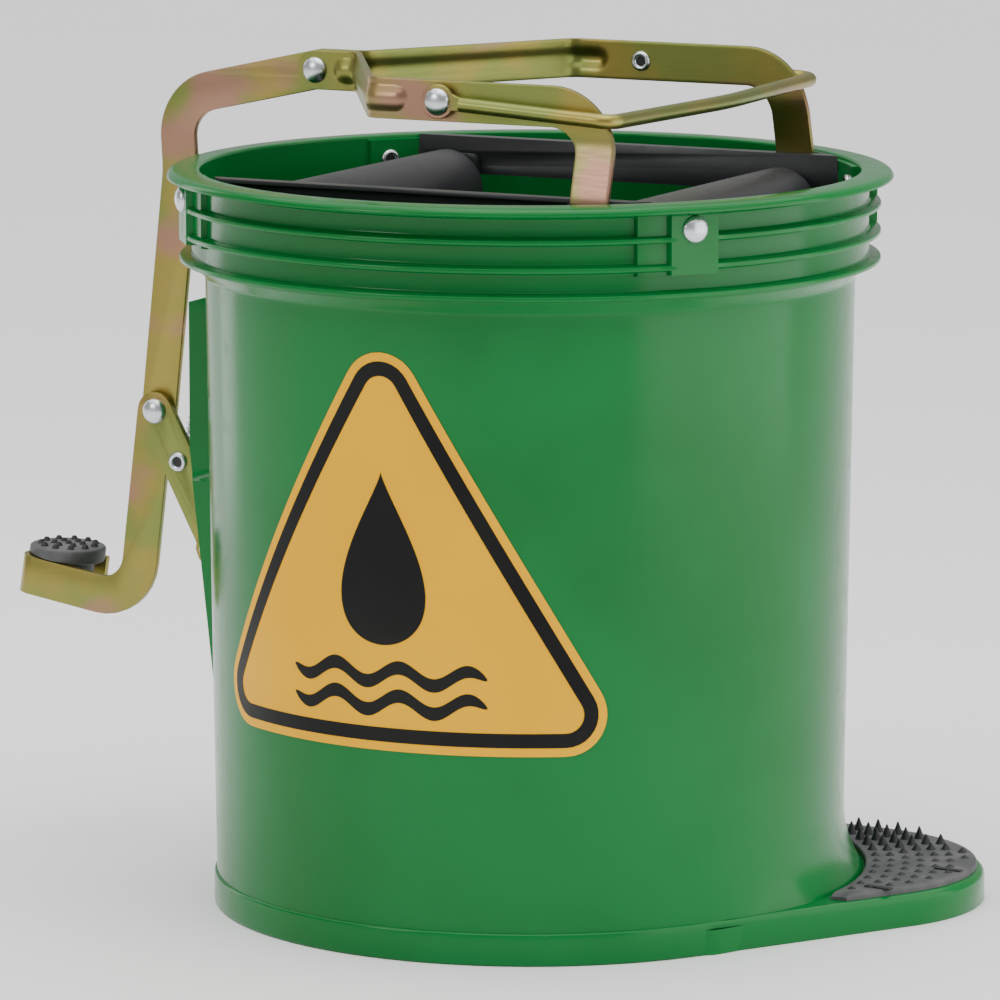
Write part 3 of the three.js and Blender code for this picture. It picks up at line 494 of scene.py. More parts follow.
def outside_rows():
    corners = [(0, 0), (BAND_RADIUS, 0), (BAND_RADIUS, BAND_HEIGHT), (wall_radius(BAND_HEIGHT), BAND_HEIGHT)]
    rows = [(0, 0), *round_corners(corners, [BAND_FILLET] * 2, 3)[1:]]
    for k in range(1, WALL_ROWS):
        z = BAND_HEIGHT + (SHOULDER_HEIGHT - BAND_HEIGHT) * k / WALL_ROWS
        rows.append((wall_radius(z), z))
    corners = [(wall_radius(SHOULDER_HEIGHT - 3), SHOULDER_HEIGHT - 3), (SHOULDER_RADIUS, SHOULDER_HEIGHT)]
    corners.append((COLLAR_RADIUS, SHOULDER_HEIGHT + 5.2))
    radii = [3, 2]
    for z in RIB_HEIGHTS:
        corners.append((COLLAR_RADIUS, z - 1.7))
        corners.append((RIB_RADIUS, z - 1))
        corners.append((RIB_RADIUS, z + 1))
        corners.append((COLLAR_RADIUS, z + 1.7))
        radii += [0.8, 0.75, 0.75, 0.8]
    corners.append((COLLAR_RADIUS, RIM_HEIGHT - 5))
    corners.append((FLANGE_RADIUS, RIM_HEIGHT - 3.4))
    corners.append((FLANGE_RADIUS, RIM_HEIGHT - 0.6))
    corners.append((FLANGE_RADIUS - 6, RIM_HEIGHT))
    corners.append((OPENING_RADIUS, RIM_HEIGHT))
    rows += round_corners(corners, radii[1:] + [1, 1, 1, 3], 4)[1:-1]
    edges = [(COLLAR_RADIUS, BOSS_LOW - 0.2), (COLLAR_RADIUS, BOSS_LOW + 0.2)]
    place = next(i for i, row in enumerate(rows) if row[1] > BOSS_LOW and i > 90)
    return rows[:place] + edges + rows[place:]


def inside_rows():
    corners = [
        (OPENING_RADIUS + 3, RIM_HEIGHT),
        (OPENING_RADIUS, RIM_HEIGHT),
        (OPENING_RADIUS, SHOULDER_HEIGHT + 9),
        (SHOULDER_RADIUS - WALL, SHOULDER_HEIGHT + 1),
        (wall_radius(10) - WALL, FLOOR),
        (0, FLOOR),
    ]
    rows = round_corners(corners, [1.2, 4, 4, 8], 5)[1:]
    levels = (RIM_HEIGHT - 1.6, RIM_HEIGHT - 1.9, SOCKET_LOW + 0.2, SOCKET_LOW - 0.2)
    return rows[:6] + [(OPENING_RADIUS, z) for z in levels] + rows[6:]


# %% Wall features
def flare(angle, z):
    """How far the wall leans out over the platform near the floor."""
    left = min(1.0, max(0.0, (BAND_HEIGHT + FLARE_HEIGHT - z) / FLARE_HEIGHT))
    edge = (BAND_RADIUS - PLATFORM_TIP) / PLATFORM_OUT
    facing = max(0.0, (math.cos(angle - PLATFORM_ANGLE) - edge) / (1 - edge))
    return FLARE * left**2.2 * facing**1.3


def pedal_flat(angle, z):
    """The radius of the flat that carries the pedal, or 0 away from it."""
    face = FLAT_FACE
    if not FLAT_FOOT < z < SHOULDER_HEIGHT + 1 or math.cos(angle) > -0.9:
        return 0
    if z < FLAT_BEND:
        face -= (FLAT_BEND - z) * (face - BASE_RADIUS + 0.5) / (FLAT_BEND - FLAT_FOOT)
    return face / -math.cos(angle) if abs(face * math.tan(angle)) < FLAT_HALF else 0


def turn_from(angle, centre):
    return (angle - centre + math.pi) % math.tau - math.pi


def towards_rail(centre):
    """The way round the rim, 1 or -1, from a rivet to the pad and socket beside it."""
    return 1 if centre < math.pi / 2 or math.pi < centre < math.pi * 1.5 else -1


def outer_radius(angle, r, z):
    if z > BAND_HEIGHT - 0.01 and r < BAND_RADIUS + 2:
        r = max(r + flare(angle, z), pedal_flat(angle, z))
    for centre in RIVET_ANGLES:
        away = turn_from(angle, centre)
        if not BOSS_LOW < z < BOSS_HIGH:
            continue
        if abs(away) < BOSS_HALF:
            r = max(RIB_RADIUS / math.cos(away) * math.cos(BOSS_HALF) + 0.35, r - 5)
        elif 0 < away * towards_rail(centre) < RECESS:
            r = max(r, COLLAR_RADIUS + PAD_PROUD)
    return r


def inner_radius(angle, r, z):
    for centre in RIVET_ANGLES:
        away = turn_from(angle, centre) * towards_rail(centre)
        if -SOCKET_TURN < away < RECESS and SOCKET_LOW < z < RIM_HEIGHT - 1.7:
            r = OPENING_RADIUS - SOCKET_DEPTH
    return r


def wall_angles():
    """Even steps, with a close pair of angles at both edges of every step in the wall."""
    edges = [math.pi + s * math.atan(FLAT_HALF / FLAT_FACE) for s in (-1, 1)]
    for centre in RIVET_ANGLES:
        way = towards_rail(centre)
        edges += [centre - BOSS_HALF, centre + BOSS_HALF, centre + way * RECESS, centre - way * SOCKET_TURN]
    pair = math.radians(0.12)
    special = [e % math.tau + s * pair for e in edges for s in (-1, 1)]
    clear = [a for a in full_turn(200) if min(abs(a - s) for s in special) > math.radians(0.5)]
    return sorted(clear + special)


# %% Make the wall
def ring(radius_of, r, z, angles):
    radii = [radius_of(a, r, z) if r else 0 for a in angles]
    return [polar(q, a, z) for q, a in zip(radii, angles)]


ANGLES = wall_angles()
rings = [ring(outer_radius, r, z, ANGLES) for r, z in outside_rows()]
rings += [ring(inner_radius, r, z, ANGLES) for r, z in inside_rows()]
bucket_wall = skin("bucket_wall", rings, green_plastic, sharp=38)

# %% [markdown]
# ## The step platform
# A foot holds the bucket down while the other works the pedal. The platform is a low tongue on the
# bucket's foot, hollow underneath. Its outline is a small circle joined to the bucket's circle by two
# tangents, then back along the wall, so that it stays outside the bucket's inside.


# %% Platform outline and mesh
def platform_edge(margin):
    """The platform's open edge, drawn in by a margin, from one tangent point to the other."""
    near, tip = BAND_RADIUS - margin - 0.15, PLATFORM_TIP - margin
    arc = [TANGENT * (k / 36 - 1) for k in range(73)]
    tip_points = [(PLATFORM_OUT + tip * math.cos(a), tip * math.sin(a)) for a in arc]
    ends = [(near * math.cos(TANGENT), -s * near * math.sin(TANGENT)) for s in (1, -1)]
    inside, past = near - 0.6, TANGENT + math.radians(3)
    tucked = [(inside * math.cos(past), -s * inside * math.sin(past)) for s in (1, -1)]
    first = [np.array(ends[0]) * (1 - k / 8) + np.array(tip_points[0]) * k / 8 for k in range(8)]
    last = [np.array(tip_points[-1]) * (1 - k / 8) + np.array(ends[1]) * k / 8 for k in range(1, 9)]
    return [Vector(p) for p in (tucked[0], *first, *tip_points, *last, tucked[1])]


def platform_loop(margin, wall_side, drop, tapers=False):
    """One level of the platform, drop below its top. A tapering edge is smaller near the bucket's band."""
    shares = [min(1, 0.35 + min(k, 90 - k) / 12) if tapers else 1 for k in range(91)]
    edge = [a.lerp(b, t) for a, b, t in zip(platform_edge(0), platform_edge(margin), shares)]
    heights = [BAND_HEIGHT - drop * t for t in shares] + [BAND_HEIGHT - drop] * 59
    back = [TANGENT * (1 - 2 * k / 60) for k in range(1, 60)]
    points = edge + [Vector((wall_side * math.cos(a), wall_side * math.sin(a))) for a in back]
    turn = Matrix.Rotation(PLATFORM_ANGLE, 2)
    return [(*(turn @ p), z) for p, z in zip(points, heights)]


EDGE = 3.2
rings = [
    platform_loop(4.5, BAND_RADIUS + 1.5, 3),
    platform_loop(4, BAND_RADIUS + 1, BAND_HEIGHT - 0.02),
    platform_loop(0.5, BASE_RADIUS - 1, BAND_HEIGHT),
    platform_loop(0, BASE_RADIUS - 1.5, BAND_HEIGHT - 0.6),
]
for k in range(6):
    turn = math.pi / 2 * k / 5
    drop = EDGE * (1 - math.sin(turn))
    rings.append(platform_loop(EDGE * (1 - math.cos(turn)), BASE_RADIUS - 1.5, drop, tapers=True))
step_platform = skin("step_platform", rings, green_plastic, sharp=40)

# %% [markdown]
# ## The label
# The real sticker is a yellow triangle with a black border. Lettering and the printed figure are left
# out. In their place is a plain sign of a water drop over two waves. Each printed shape is its own thin
# sheet, laid out flat in millimetres and then wrapped round the wall, so its edges stay as sharp as print.


# %% Flat shapes for the label
LABEL_LOW = RIM_HEIGHT * 0.279
LABEL_TOP = SHOULDER_HEIGHT * 0.999
LABEL_HALF = BASE_RADIUS * 0.8
LABEL_CORNER = 17
FILM = 0.12
SHEET_LIFT = 0.2
INK_LIFT = 0.36


def triangle_loop(inset):
    """The label's rounded triangle drawn in by an inset, as a loop of evenly matched points."""
    side = math.hypot(LABEL_HALF, LABEL_TOP - LABEL_LOW)
    low = LABEL_LOW + inset
    high = LABEL_TOP - inset * side / LABEL_HALF
    half = LABEL_HALF * (high - low) / (LABEL_TOP - LABEL_LOW)
    corners = [(0, low), (half, low), (0, high), (-half, low), (0, low)]
    path = round_corners(corners, [LABEL_CORNER - inset] * 3, 10)
    loop = []
    for a, b in zip(path, path[1:]):
        parts = 14 if (b - a).length > 8 and a.x * b.x == 0 else 28 if (b - a).length > 30 else 1
        loop += [a.lerp(b, k / parts) for k in range(parts)]
    return loop


def rows_between(outline, rows, columns):
    """A grid that fills a shape which is the same on both sides of its middle line."""
    right = sorted((p.y, p.x) for p in outline if p.x >= 0)
    heights = [p[0] for p in right]
    ease = (1 - np.cos(np.linspace(0, math.pi, rows))) / 2
    levels = heights[0] + (heights[-1] - heights[0]) * ease
    widths = np.interp(levels, heights, [p[1] for p in right])
    points = [(w * t, z) for z, w in zip(levels, widths) for t in np.linspace(-1, 1, columns)]
    return points, grid_faces(rows, columns)


def grid_faces(rows, columns):
    """Faces over a grid of points, row after row."""
    firsts = [i * columns + k for i in range(rows - 1) for k in range(columns - 1)]
    return [(n, n + 1, n + columns + 1, n + columns) for n in firsts]


def turn_outwards(work):
    """Turns every face of an open sheet away from the bucket's axis."""
    for face in work.faces:
        middle = face.calc_center_median()
        if face.normal.dot(Vector((middle.x, middle.y, 0))) < 0:
            face.normal_flip()


def wrapped_sheet(name, points, faces, lift, material):
    """Flat points laid on the wall, lift above it, and given a film's thickness."""
    placed = []
    for u, z in points:
        angle = u / wall_radius(z)
        r = wall_radius(z) + lift
        placed.append((r * math.sin(angle), -r * math.cos(angle), z))
    mesh = bare_mesh(name, placed, faces)
    rework(mesh, turn_outwards)
    piece = new_object(name, mesh, material)
    add_thickness(piece, FILM, 1)
    return apply_modifiers(piece)


# %% Make the label
points, faces = rows_between(triangle_loop(0), 90, 61)
label_sheet = wrapped_sheet("label_sheet", points, faces, SHEET_LIFT, label_yellow)
outer, inner = triangle_loop(3.6), triangle_loop(9.4)
count = len(outer)
faces = [(k, (k + 1) % count, (k + 1) % count + count, k + count) for k in range(count)]
label_border = wrapped_sheet("label_border", outer + inner, faces, INK_LIFT, label_ink)
turns = [math.pi * k / 60 for k in range(61)]
outline = [Vector((27 * math.sin(t) * math.sin(t / 2) ** 1.5, 164 + 35 * math.cos(t))) for t in turns]
points, faces = rows_between(outline, 60, 15)
label_drop = wrapped_sheet("label_drop", points, faces, INK_LIFT, label_ink)


def wave(z, half, thickness):
    across = np.linspace(-half, half, 60)
    middle = z + 3.2 * np.sin(across / half * math.tau * 1.5)
    taper = np.sqrt(np.maximum(0.02, 1 - (across / half) ** 8)) * thickness / 2
    points = [(u, m + s * t) for u, m, t in zip(across, middle, taper) for s in (-1, 1)]
    return points, grid_faces(60, 2)


label_waves = [
    wrapped_sheet(f"label_wave_{name}", *wave(z, half, 5.5), INK_LIFT, label_ink)
    for name, z, half in (("upper", 117, 44), ("lower", 105.5, 44))
]

# %% [markdown]
# ## Geometry Nodes for studs
# The foot grip and the pedal's pad are covered in small rubber points. That is one shape repeated at
# many places, which is what Geometry Nodes do well. The tree puts a cone on every vertex of a bare mesh
# of points. Each vertex carries its own height, because the grip's spikes grow taller towards the back.


# %% The studs tree
def new_tree(name, inputs):
    """An empty Geometry Nodes tree with named inputs. Returns its board, its inputs and their identifiers."""
    tree = bpy.data.node_groups.new(name, "GeometryNodeTree")
    tree.interface.new_socket("Geometry", in_out="INPUT", socket_type="NodeSocketGeometry")
    names = {}
    for label, kind in inputs.items():
        socket = tree.interface.new_socket(label, in_out="INPUT", socket_type="NodeSocket" + kind)
        names[label] = socket.identifier
    tree.interface.new_socket("Geometry", in_out="OUTPUT", socket_type="NodeSocketGeometry")
    board = Board(tree)
    entry = tree.nodes.new("NodeGroupInput")
    wires = {socket.name: Wire(board, socket) for socket in entry.outputs if socket.name}
    return board, wires, names


def close_tree(board, shape, material):
    """Realize Instances and Set Material, then out."""
    real = board.node("GeometryNodeRealizeInstances", {}, {"Geometry": shape})
    painted = board.node("GeometryNodeSetMaterial", {}, {"Geometry": real, "Material": material})
    board.node("NodeGroupOutput", {}, {"Geometry": painted})


def grow(piece, tree_parts, values):
    """Runs a tree on a piece and keeps the result as its plain mesh."""
    board, _, names = tree_parts
    modifier = piece.modifiers.new(board.tree.name, "NODES")
    modifier.node_group = board.tree
    for label, value in values.items():
        modifier[names[label]] = value
    apply_modifiers(piece)
    print(f"{piece.name}: {len(piece.data.polygons)} faces from {board.tree.name}")
    return piece


def points_piece(name, points, material, attributes=None, edges=()):
    """Bare vertices, in millimetres, with named values for a tree to read."""
    mesh = bare_mesh(name, points, [], edges)
    for label, (kind, values) in (attributes or {}).items():
        layer = mesh.attributes.new(label, kind, "POINT")
        field = "vector" if kind == "FLOAT_VECTOR" else "value"
        layer.data.foreach_set(field, np.array(values, np.float32).ravel())
    return new_object(name, mesh, material)


def named(board, label, kind="FLOAT"):
    return board.node("GeometryNodeInputNamedAttribute", {"data_type": kind}, {"Name": label})


def place(board, shape, spots, **extra):
    """The shape on every point, with its Z turned to the point's own direction."""
    up = {"Vector": named(board, "up", "FLOAT_VECTOR")}
    up = board.node("FunctionNodeAlignRotationToVector", {"axis": "Z"}, up)
    inputs = {"Points": spots, "Instance": shape, "Rotation": up, **extra}
    return board.node("GeometryNodeInstanceOnPoints", {}, inputs)


def stud_tree():
    inputs = {"Foot": "Float", "Tip": "Float", "Height": "Float", "Material": "Material"}
    parts = new_tree("rubber_studs", inputs)
    board, wires = parts[:2]
    sizes = {"Radius Bottom": wires["Foot"], "Radius Top": wires["Tip"], "Depth": wires["Height"]}
    cone = board.node("GeometryNodeMeshCone", {}, {"Vertices": 10, **sizes})
    tall = board.node("ShaderNodeCombineXYZ", {}, {"X": 1.0, "Y": 1.0, "Z": named(board, "tall")})
    close_tree(board, place(board, cone, wires["Geometry"], Scale=tall), wires["Material"])
    return parts


STUDS = stud_tree()
print("inputs:", list(STUDS[2]))

# %% [markdown]
# ## The foot grip
# A crescent of rubber lies on the platform. It follows the wall on one side and the platform's edge on
# the other, and its ends are cut across. Cross-sections at a row of angles give that shape with soft
# edges all round.


# %% Foot grip sheet
GRIP_LOW = BAND_HEIGHT + GAP - 0.3
GRIP_HIGH = BAND_HEIGHT + GAP + 2.5
GRIP_INNER = BASE_RADIUS + 9.8
GRIP_MARGIN = 3.2


def grip_edge(away):
    """Radius of the platform's edge less a margin, at an angle from the platform's middle."""
    near, tip = BAND_RADIUS - GRIP_MARGIN, PLATFORM_TIP - GRIP_MARGIN
    corner = math.atan2(tip * math.sin(TANGENT), PLATFORM_OUT + tip * math.cos(TANGENT))
    if abs(away) > corner:
        return near / math.cos(TANGENT - abs(away))
    return PLATFORM_OUT * math.cos(away) + math.sqrt(tip**2 - (PLATFORM_OUT * math.sin(away)) ** 2)


def grip_section(away, height):
    inner, outer = GRIP_INNER, grip_edge(away)
    top = GRIP_LOW + height
    corners = [(inner, GRIP_LOW), (inner, top), (outer, top), (outer, GRIP_LOW)]
    section = round_corners(corners, [min(1, height / 2), min(2.6, height / 2)], 5)
    return [polar(r, PLATFORM_ANGLE + away, z) for r, z in section]


span = math.radians(29.5)
depth = GRIP_HIGH - GRIP_LOW
rings = []
for k in range(-46, 47):
    edge = (46 - abs(k)) / 4
    height = depth - 1.4 + 1.4 * math.sin(min(1, edge) * math.pi / 2)
    away = span * k / 46 if abs(k) < 42 else math.copysign(span * (42 + (abs(k) - 42) * 0.5) / 44, k)
    rings.append(grip_section(away, height))
foot_sheet = skin("foot_sheet", rings, grip_rubber, sharp=50)

# %% Spikes on the grip
spots, heights = [], []
for column in range(7):
    radius = GRIP_INNER + 4.6 + 6.2 * column
    reach = math.radians((25, 25, 24.5, 23.5, 22, 19.5, 15)[column])
    count = round(2 * reach * radius / 11.5)
    for k in range(count + 1):
        away = -reach + 2 * reach * (k + 0.5 * (column % 2)) / (count + 0.5)
        if radius > grip_edge(away) - 4.5:
            continue
        spots.append(polar(radius, PLATFORM_ANGLE + away, GRIP_HIGH - 0.3))
        rise = min(1, max(0, (math.degrees(away) + 2) / 16))
        heights.append(0.24 + 0.76 * rise * rise * (3 - 2 * rise))
upright = {"tall": ("FLOAT", heights), "up": ("FLOAT_VECTOR", [(0, 0, 1)] * len(spots))}
grip_spikes = points_piece("grip_spikes", spots, stud_rubber, upright)
grow(grip_spikes, STUDS, {"Foot": 2.4 * MM, "Tip": 0.3 * MM, "Height": 5.6 * MM, "Material": stud_rubber})


def bar(name, centre, size, angle, material):
    """A small soft-edged bar, turned in plan."""
    long, wide, tall = (v / 2 for v in size)
    corners = [(-long, -wide), (long, -wide), (long, wide), (-long, wide)]
    turn = Matrix.Rotation(angle, 2)
    rings = []
    for inset, z in ((0, -tall), (0, tall * 0.4), (wide * 0.5, tall)):
        loop = [Vector((x - math.copysign(inset, x), y - math.copysign(inset, y))) for x, y in corners]
        rings.append([(*(turn @ p + Vector(centre[:2])), centre[2] + z) for p in loop])
    return skin(name, rings, material)


bars = []
for away, radius in ((-0.4, 155), (-0.15, 176)):
    centre = polar(radius, PLATFORM_ANGLE + away, GRIP_HIGH + 0.3)
    bars.append(bar(f"grip_bar_{len(bars)}", centre, (12, 3, 1), -0.1, stud_rubber))
grip_bars = join("grip_bars", bars)

# %% [markdown]
# ## Strips cut from sheet steel
# The link is a flat strip with two holes. A flat Blender curve with a fill, an extrusion and a small
# bevel makes such a plate with clean holes and soft sheared edges. The lever and the brackets are more
# complex, so they start from a merged copy of their CAD node, and a bevel takes the sharp edges off.


# %% Flat plates with holes
def plate(name, outline, holes, thickness, middle, material, edge=0.4):
    """A plate standing in the XZ plane, with its middle at one Y."""
    curve = bpy.data.curves.new(name, "CURVE")
    curve.dimensions = "2D"
    curve.fill_mode = "BOTH"
    curve.extrude = (thickness / 2 - edge) * MM
    curve.bevel_depth = edge * MM
    curve.bevel_resolution = 2
    curve.offset = -edge * MM
    turns = np.linspace(0, math.tau, 40)[:-1]
    circles = [[(x + r * math.cos(a), z + r * math.sin(a)) for a in turns] for x, z, r in holes]
    for loop in [outline, *circles]:
        spline = curve.splines.new("POLY")
        spline.points.add(len(loop) - 1)
        for point, (x, z) in zip(spline.points, loop):
            point.co = (x * MM, z * MM, 0, 1)
        spline.use_cyclic_u = True
    holder = put_in_scene(name, curve)
    mesh = evaluated_mesh(holder)
    bpy.data.objects.remove(holder)
    for vertex in mesh.vertices:
        x, z, away = vertex.co
        vertex.co = (x, middle * MM - away, z)
    close_mesh(mesh, 40)
    print(f"{name}: {len(mesh.polygons)} faces")
    return new_object(name, mesh, material)


def merge_flats(work):
    """Makes one face of the triangles that lie in one plane."""
    bmesh.ops.dissolve_limit(work, angle_limit=math.radians(1), verts=work.verts, edges=work.edges)


def softened(node, name, width, material):
    """A CAD node's shape with its triangles merged and its edges bevelled."""
    mesh = frame["nodes"][node].data.copy()
    rework(mesh, merge_flats)
    piece = new_object(name, mesh, material)
    add_bevel(piece, width)
    apply_modifiers(piece)
    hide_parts(node)
    print(f"{name}: {len(piece.data.polygons)} faces")
    return piece


# %% Link and lever
TAB_X = -FLANGE_RADIUS * 0.656
LINK_TOP = (TAB_X, ARM_HEIGHT)
LINK_BOTTOM = (-FLANGE_RADIUS - 26.5, RIM_HEIGHT * 0.6315)
SPRING_PIN = (-FLANGE_RADIUS - 15.2, RIM_HEIGHT * 0.5633)
link_bends = [(-FLANGE_RADIUS - 17, ARM_HEIGHT - 15), (-FLANGE_RADIUS - 15.2, RIM_HEIGHT - 10)]
corners = [LINK_TOP, *link_bends, LINK_BOTTOM]
link_path = round_corners(corners, [20, 60], 16)
link_holes = [(*LINK_TOP, RIVET_SHANK + GAP), (*LINK_BOTTOM, RIVET_SHANK + 2.4)]
link_plate = plate("link_plate", ribbon(link_path, STRIP_WIDTH), link_holes, LINK_SHEET, 0, zinc_steel)
lever_plate = softened("pedal_lever", "lever_plate", 0.45, zinc_steel)

# %% [markdown]
# ## The frame's arms
# Each arm is one strip of sheet steel, bent in plan from the link out to the roller and then turned down
# outside the rail. A long stiffening rib is stamped across both bends. Seen from the side the arm is a
# ribbon, and every point of that ribbon has one depth, so the arm is a grid over the ribbon with its
# depth given by a rule. The rule adds the rib, and a Solidify and a Bevel modifier give the sheet its
# thickness and its sheared edges.


# %% Arm depth rules
SPLIT_X = TAB_X + 20
CORNER_X = SPLIT_X + 53
ARM_PLANE = RAIL_FACE + 2
TAB_PLANE = LINK_SHEET / 2 + 0.3 + ARM_SHEET / 2
STRAP_PLANE = RAIL_FACE + 7 + ARM_SHEET / 2
plan = [(TAB_X - 30, TAB_PLANE), (SPLIT_X, TAB_PLANE), (CORNER_X, ARM_PLANE), (200, ARM_PLANE)]
plan = np.array(round_corners(plan, [6, 8], 10))
fall = [(400, ARM_PLANE), (ARM_HEIGHT - 14, ARM_PLANE), (RIM_HEIGHT, STRAP_PLANE), (200, STRAP_PLANE)]
fall = np.array(round_corners(fall, [18, 18], 10))[::-1]


def rib(x, z, start, end, half_width, height):
    """A stamped rib with round ends, along the strip's middle line."""
    nearest = min(max(x, start), end)
    away = math.hypot(x - nearest, z - ARM_HEIGHT) / half_width
    return height * (1 - away**2) ** 0.75 if away < 1 else 0.0


def arm_depth(x, z):
    depth = np.interp(x, plan[:, 0], plan[:, 1]) + np.interp(z, fall[:, 0], fall[:, 1]) - ARM_PLANE
    return depth + rib(x, z, SPLIT_X - 6, CORNER_X + 12, 4.4, 2)


# %% Arm mesh
def arm_sheet(name, side):
    half = STRIP_WIDTH / 2
    turn = 28 - half
    corners = [(TAB_X - half, ARM_HEIGHT), (MOVING_ROLLER_X, ARM_HEIGHT)]
    corners.append((MOVING_ROLLER_X, ROLLER_HEIGHT - half))
    path = spread(round_corners(corners, [turn], 20), 1.1)
    total = len(path)
    spacing = np.linalg.norm(path[1] - path[0])
    columns = 13
    points = []
    for i, point in enumerate(path):
        along = path[min(i + 1, total - 1)] - path[max(i - 1, 0)]
        along = along / np.linalg.norm(along)
        to_end = min(i, total - 1 - i) * spacing
        width = half if to_end >= half else math.sqrt(max(0.6, half**2 - (half - to_end) ** 2))
        for t in np.linspace(-1, 1, columns):
            x, z = point + np.array((-along[1], along[0])) * width * t
            points.append((x, side * arm_depth(x, z), z))
    piece = new_object(name, bare_mesh(name, points, grid_faces(total, columns)), zinc_steel)
    add_thickness(piece, ARM_SHEET, 0)
    add_bevel(piece, 0.35)
    apply_modifiers(piece, 50)
    close_mesh(piece.data, 50)
    return piece


arm_back = arm_sheet("arm_back", 1)
arm_front = arm_sheet("arm_front", -1)
print("arms:", len(arm_back.data.polygons), "faces each")

# %% [markdown]
# ## Geometry Nodes for rivets
# Every joint in the steel is a tubular rivet: a bright dome on one side, a rolled-over ring on the other.
# The ring's hollow is a thin black disc, which is painted shade where the bore would be dark. One tree makes
# the whole rivet along Z, with its grip as an input, and stands it on each point of a bare mesh, turned the
# way that point says.


# %% The rivet tree
def together(board, *shapes):
    """One geometry from several. A Join takes all its links on one socket."""
    node = board.tree.nodes.new("GeometryNodeJoinGeometry")
    for shape in shapes:
        board.tree.links.new(shape.socket, node.inputs[0])
    return Wire(board, node.outputs[0])


def rivet_tree():
    sizes = ("Head", "Rise", "Shank", "Grip", "Tail", "Bore")
    inputs = {**dict.fromkeys(sizes, "Float"), "Steel": "Material", "Hollow": "Material"}
    parts = new_tree("tubular_rivet", inputs)
    board, wires = parts[:2]
    ball = board.node("GeometryNodeMeshUVSphere", {}, {"Segments": 28, "Rings": 18, "Radius": 1.0})
    spot = board.node("GeometryNodeInputPosition")
    clamp = board.node("ShaderNodeVectorMath", {"operation": "MAXIMUM"}, {0: spot, 1: (-9, -9, 0)})
    dome = board.node("GeometryNodeSetPosition", {}, {"Geometry": ball, "Position": clamp})
    size = {"X": wires["Head"], "Y": wires["Head"], "Z": wires["Rise"]}
    size = board.node("ShaderNodeCombineXYZ", {}, size)
    dome = board.node("GeometryNodeTransform", {}, {"Geometry": dome, "Scale": size})
    rod = {"Vertices": 24, "Radius": wires["Shank"], "Depth": wires["Grip"]}
    rod = board.node("GeometryNodeMeshCylinder", {}, rod)
    down = board.node("ShaderNodeCombineXYZ", {}, {"Z": wires["Grip"] * -0.5})
    rod = board.node("GeometryNodeTransform", {}, {"Geometry": rod, "Translation": down})
    path = {"Resolution": 28, "Radius": (wires["Tail"] + wires["Bore"]) * 0.5}
    path = board.node("GeometryNodeCurvePrimitiveCircle", {}, path)
    lip = {"Resolution": 12, "Radius": (wires["Tail"] - wires["Bore"]) * 0.5}
    lip = board.node("GeometryNodeCurvePrimitiveCircle", {}, lip)
    rolled = board.node("GeometryNodeCurveToMesh", {}, {"Curve": path, "Profile Curve": lip})
    below = board.node("ShaderNodeCombineXYZ", {}, {"Z": wires["Grip"] * -1})
    rolled = board.node("GeometryNodeTransform", {}, {"Geometry": rolled, "Translation": below})
    # A thin black disc at the rolled end: painted shade for the dark inside of the hollow rivet.
    plug_and_shade_disc = {"Vertices": 20, "Radius": wires["Bore"] * 1.2, "Depth": 0.0004}
    plug_and_shade_disc = board.node("GeometryNodeMeshCylinder", {}, plug_and_shade_disc)
    plug_and_shade_disc = board.node("GeometryNodeTransform", {}, {"Geometry": plug_and_shade_disc, "Translation": below})
    plug_and_shade_disc = board.node("GeometryNodeSetMaterial", {}, {"Geometry": plug_and_shade_disc, "Material": wires["Hollow"]})
    bright = together(board, rolled, rod, dome)
    bright = board.node("GeometryNodeSetMaterial", {}, {"Geometry": bright, "Material": wires["Steel"]})
    placed = place(board, together(board, bright, plug_and_shade_disc), wires["Geometry"])
    real = board.node("GeometryNodeRealizeInstances", {}, {"Geometry": placed})
    board.node("NodeGroupOutput", {}, {"Geometry": real})
    return parts


RIVETS = rivet_tree()


def rivets(name, spots, grip, tail=4.3, head=RIVET_HEAD, rise=3.1, bore=2.0, shank=RIVET_SHANK):
    """Rivets of one size. Each spot is its head's seat and the way that the head faces."""
    points = [spot for spot, facing in spots]
    facing = {"up": ("FLOAT_VECTOR", [facing for spot, facing in spots])}
    piece = points_piece(name, points, rivet_steel, facing)
    sizes = {"Head": head, "Rise": rise, "Shank": shank, "Grip": grip, "Tail": tail, "Bore": bore}
    values = {label: value * MM for label, value in sizes.items()}
    # The stud rubber's black on the hollow's disc is painted shade.
    grow(piece, RIVETS, {**values, "Steel": rivet_steel, "Hollow": stud_rubber})
    return piece


# %% Rivets on each body
BAIL_X = 7
LEVER_BACK = -LINK_SHEET / 2 - 0.3
LEVER_FRONT = LEVER_BACK - LINK_SHEET
RAIL_RIVET_HEIGHT = RIM_HEIGHT - 10.4
rail_spots = [(polar(RIB_RADIUS, a, RAIL_RIVET_HEIGHT), polar(1, a, 0)) for a in RIVET_ANGLES]
rail_rivets = rivets("rail_rivets", rail_spots, RIB_RADIUS - OPENING_RADIUS + 2 + GAP)
tab_face = TAB_PLANE + ARM_SHEET / 2
top_spot = [((TAB_X, -tab_face, ARM_HEIGHT), (0, -1, 0))]
top_rivet = rivets("top_rivet", top_spot, 2 * tab_face + GAP)
eye_face = ARM_PLANE + ARM_SHEET / 2 + 0.6 + 3
bail_spots = [((BAIL_X, s * eye_face, ARM_HEIGHT), (0, s, 0)) for s in (-1, 1)]
bail_rivets = rivets("bail_rivets", bail_spots, eye_face - ARM_PLANE + ARM_SHEET / 2 + GAP)
bottom_spot = [((LINK_BOTTOM[0], LEVER_FRONT, LINK_BOTTOM[1]), (0, -1, 0))]
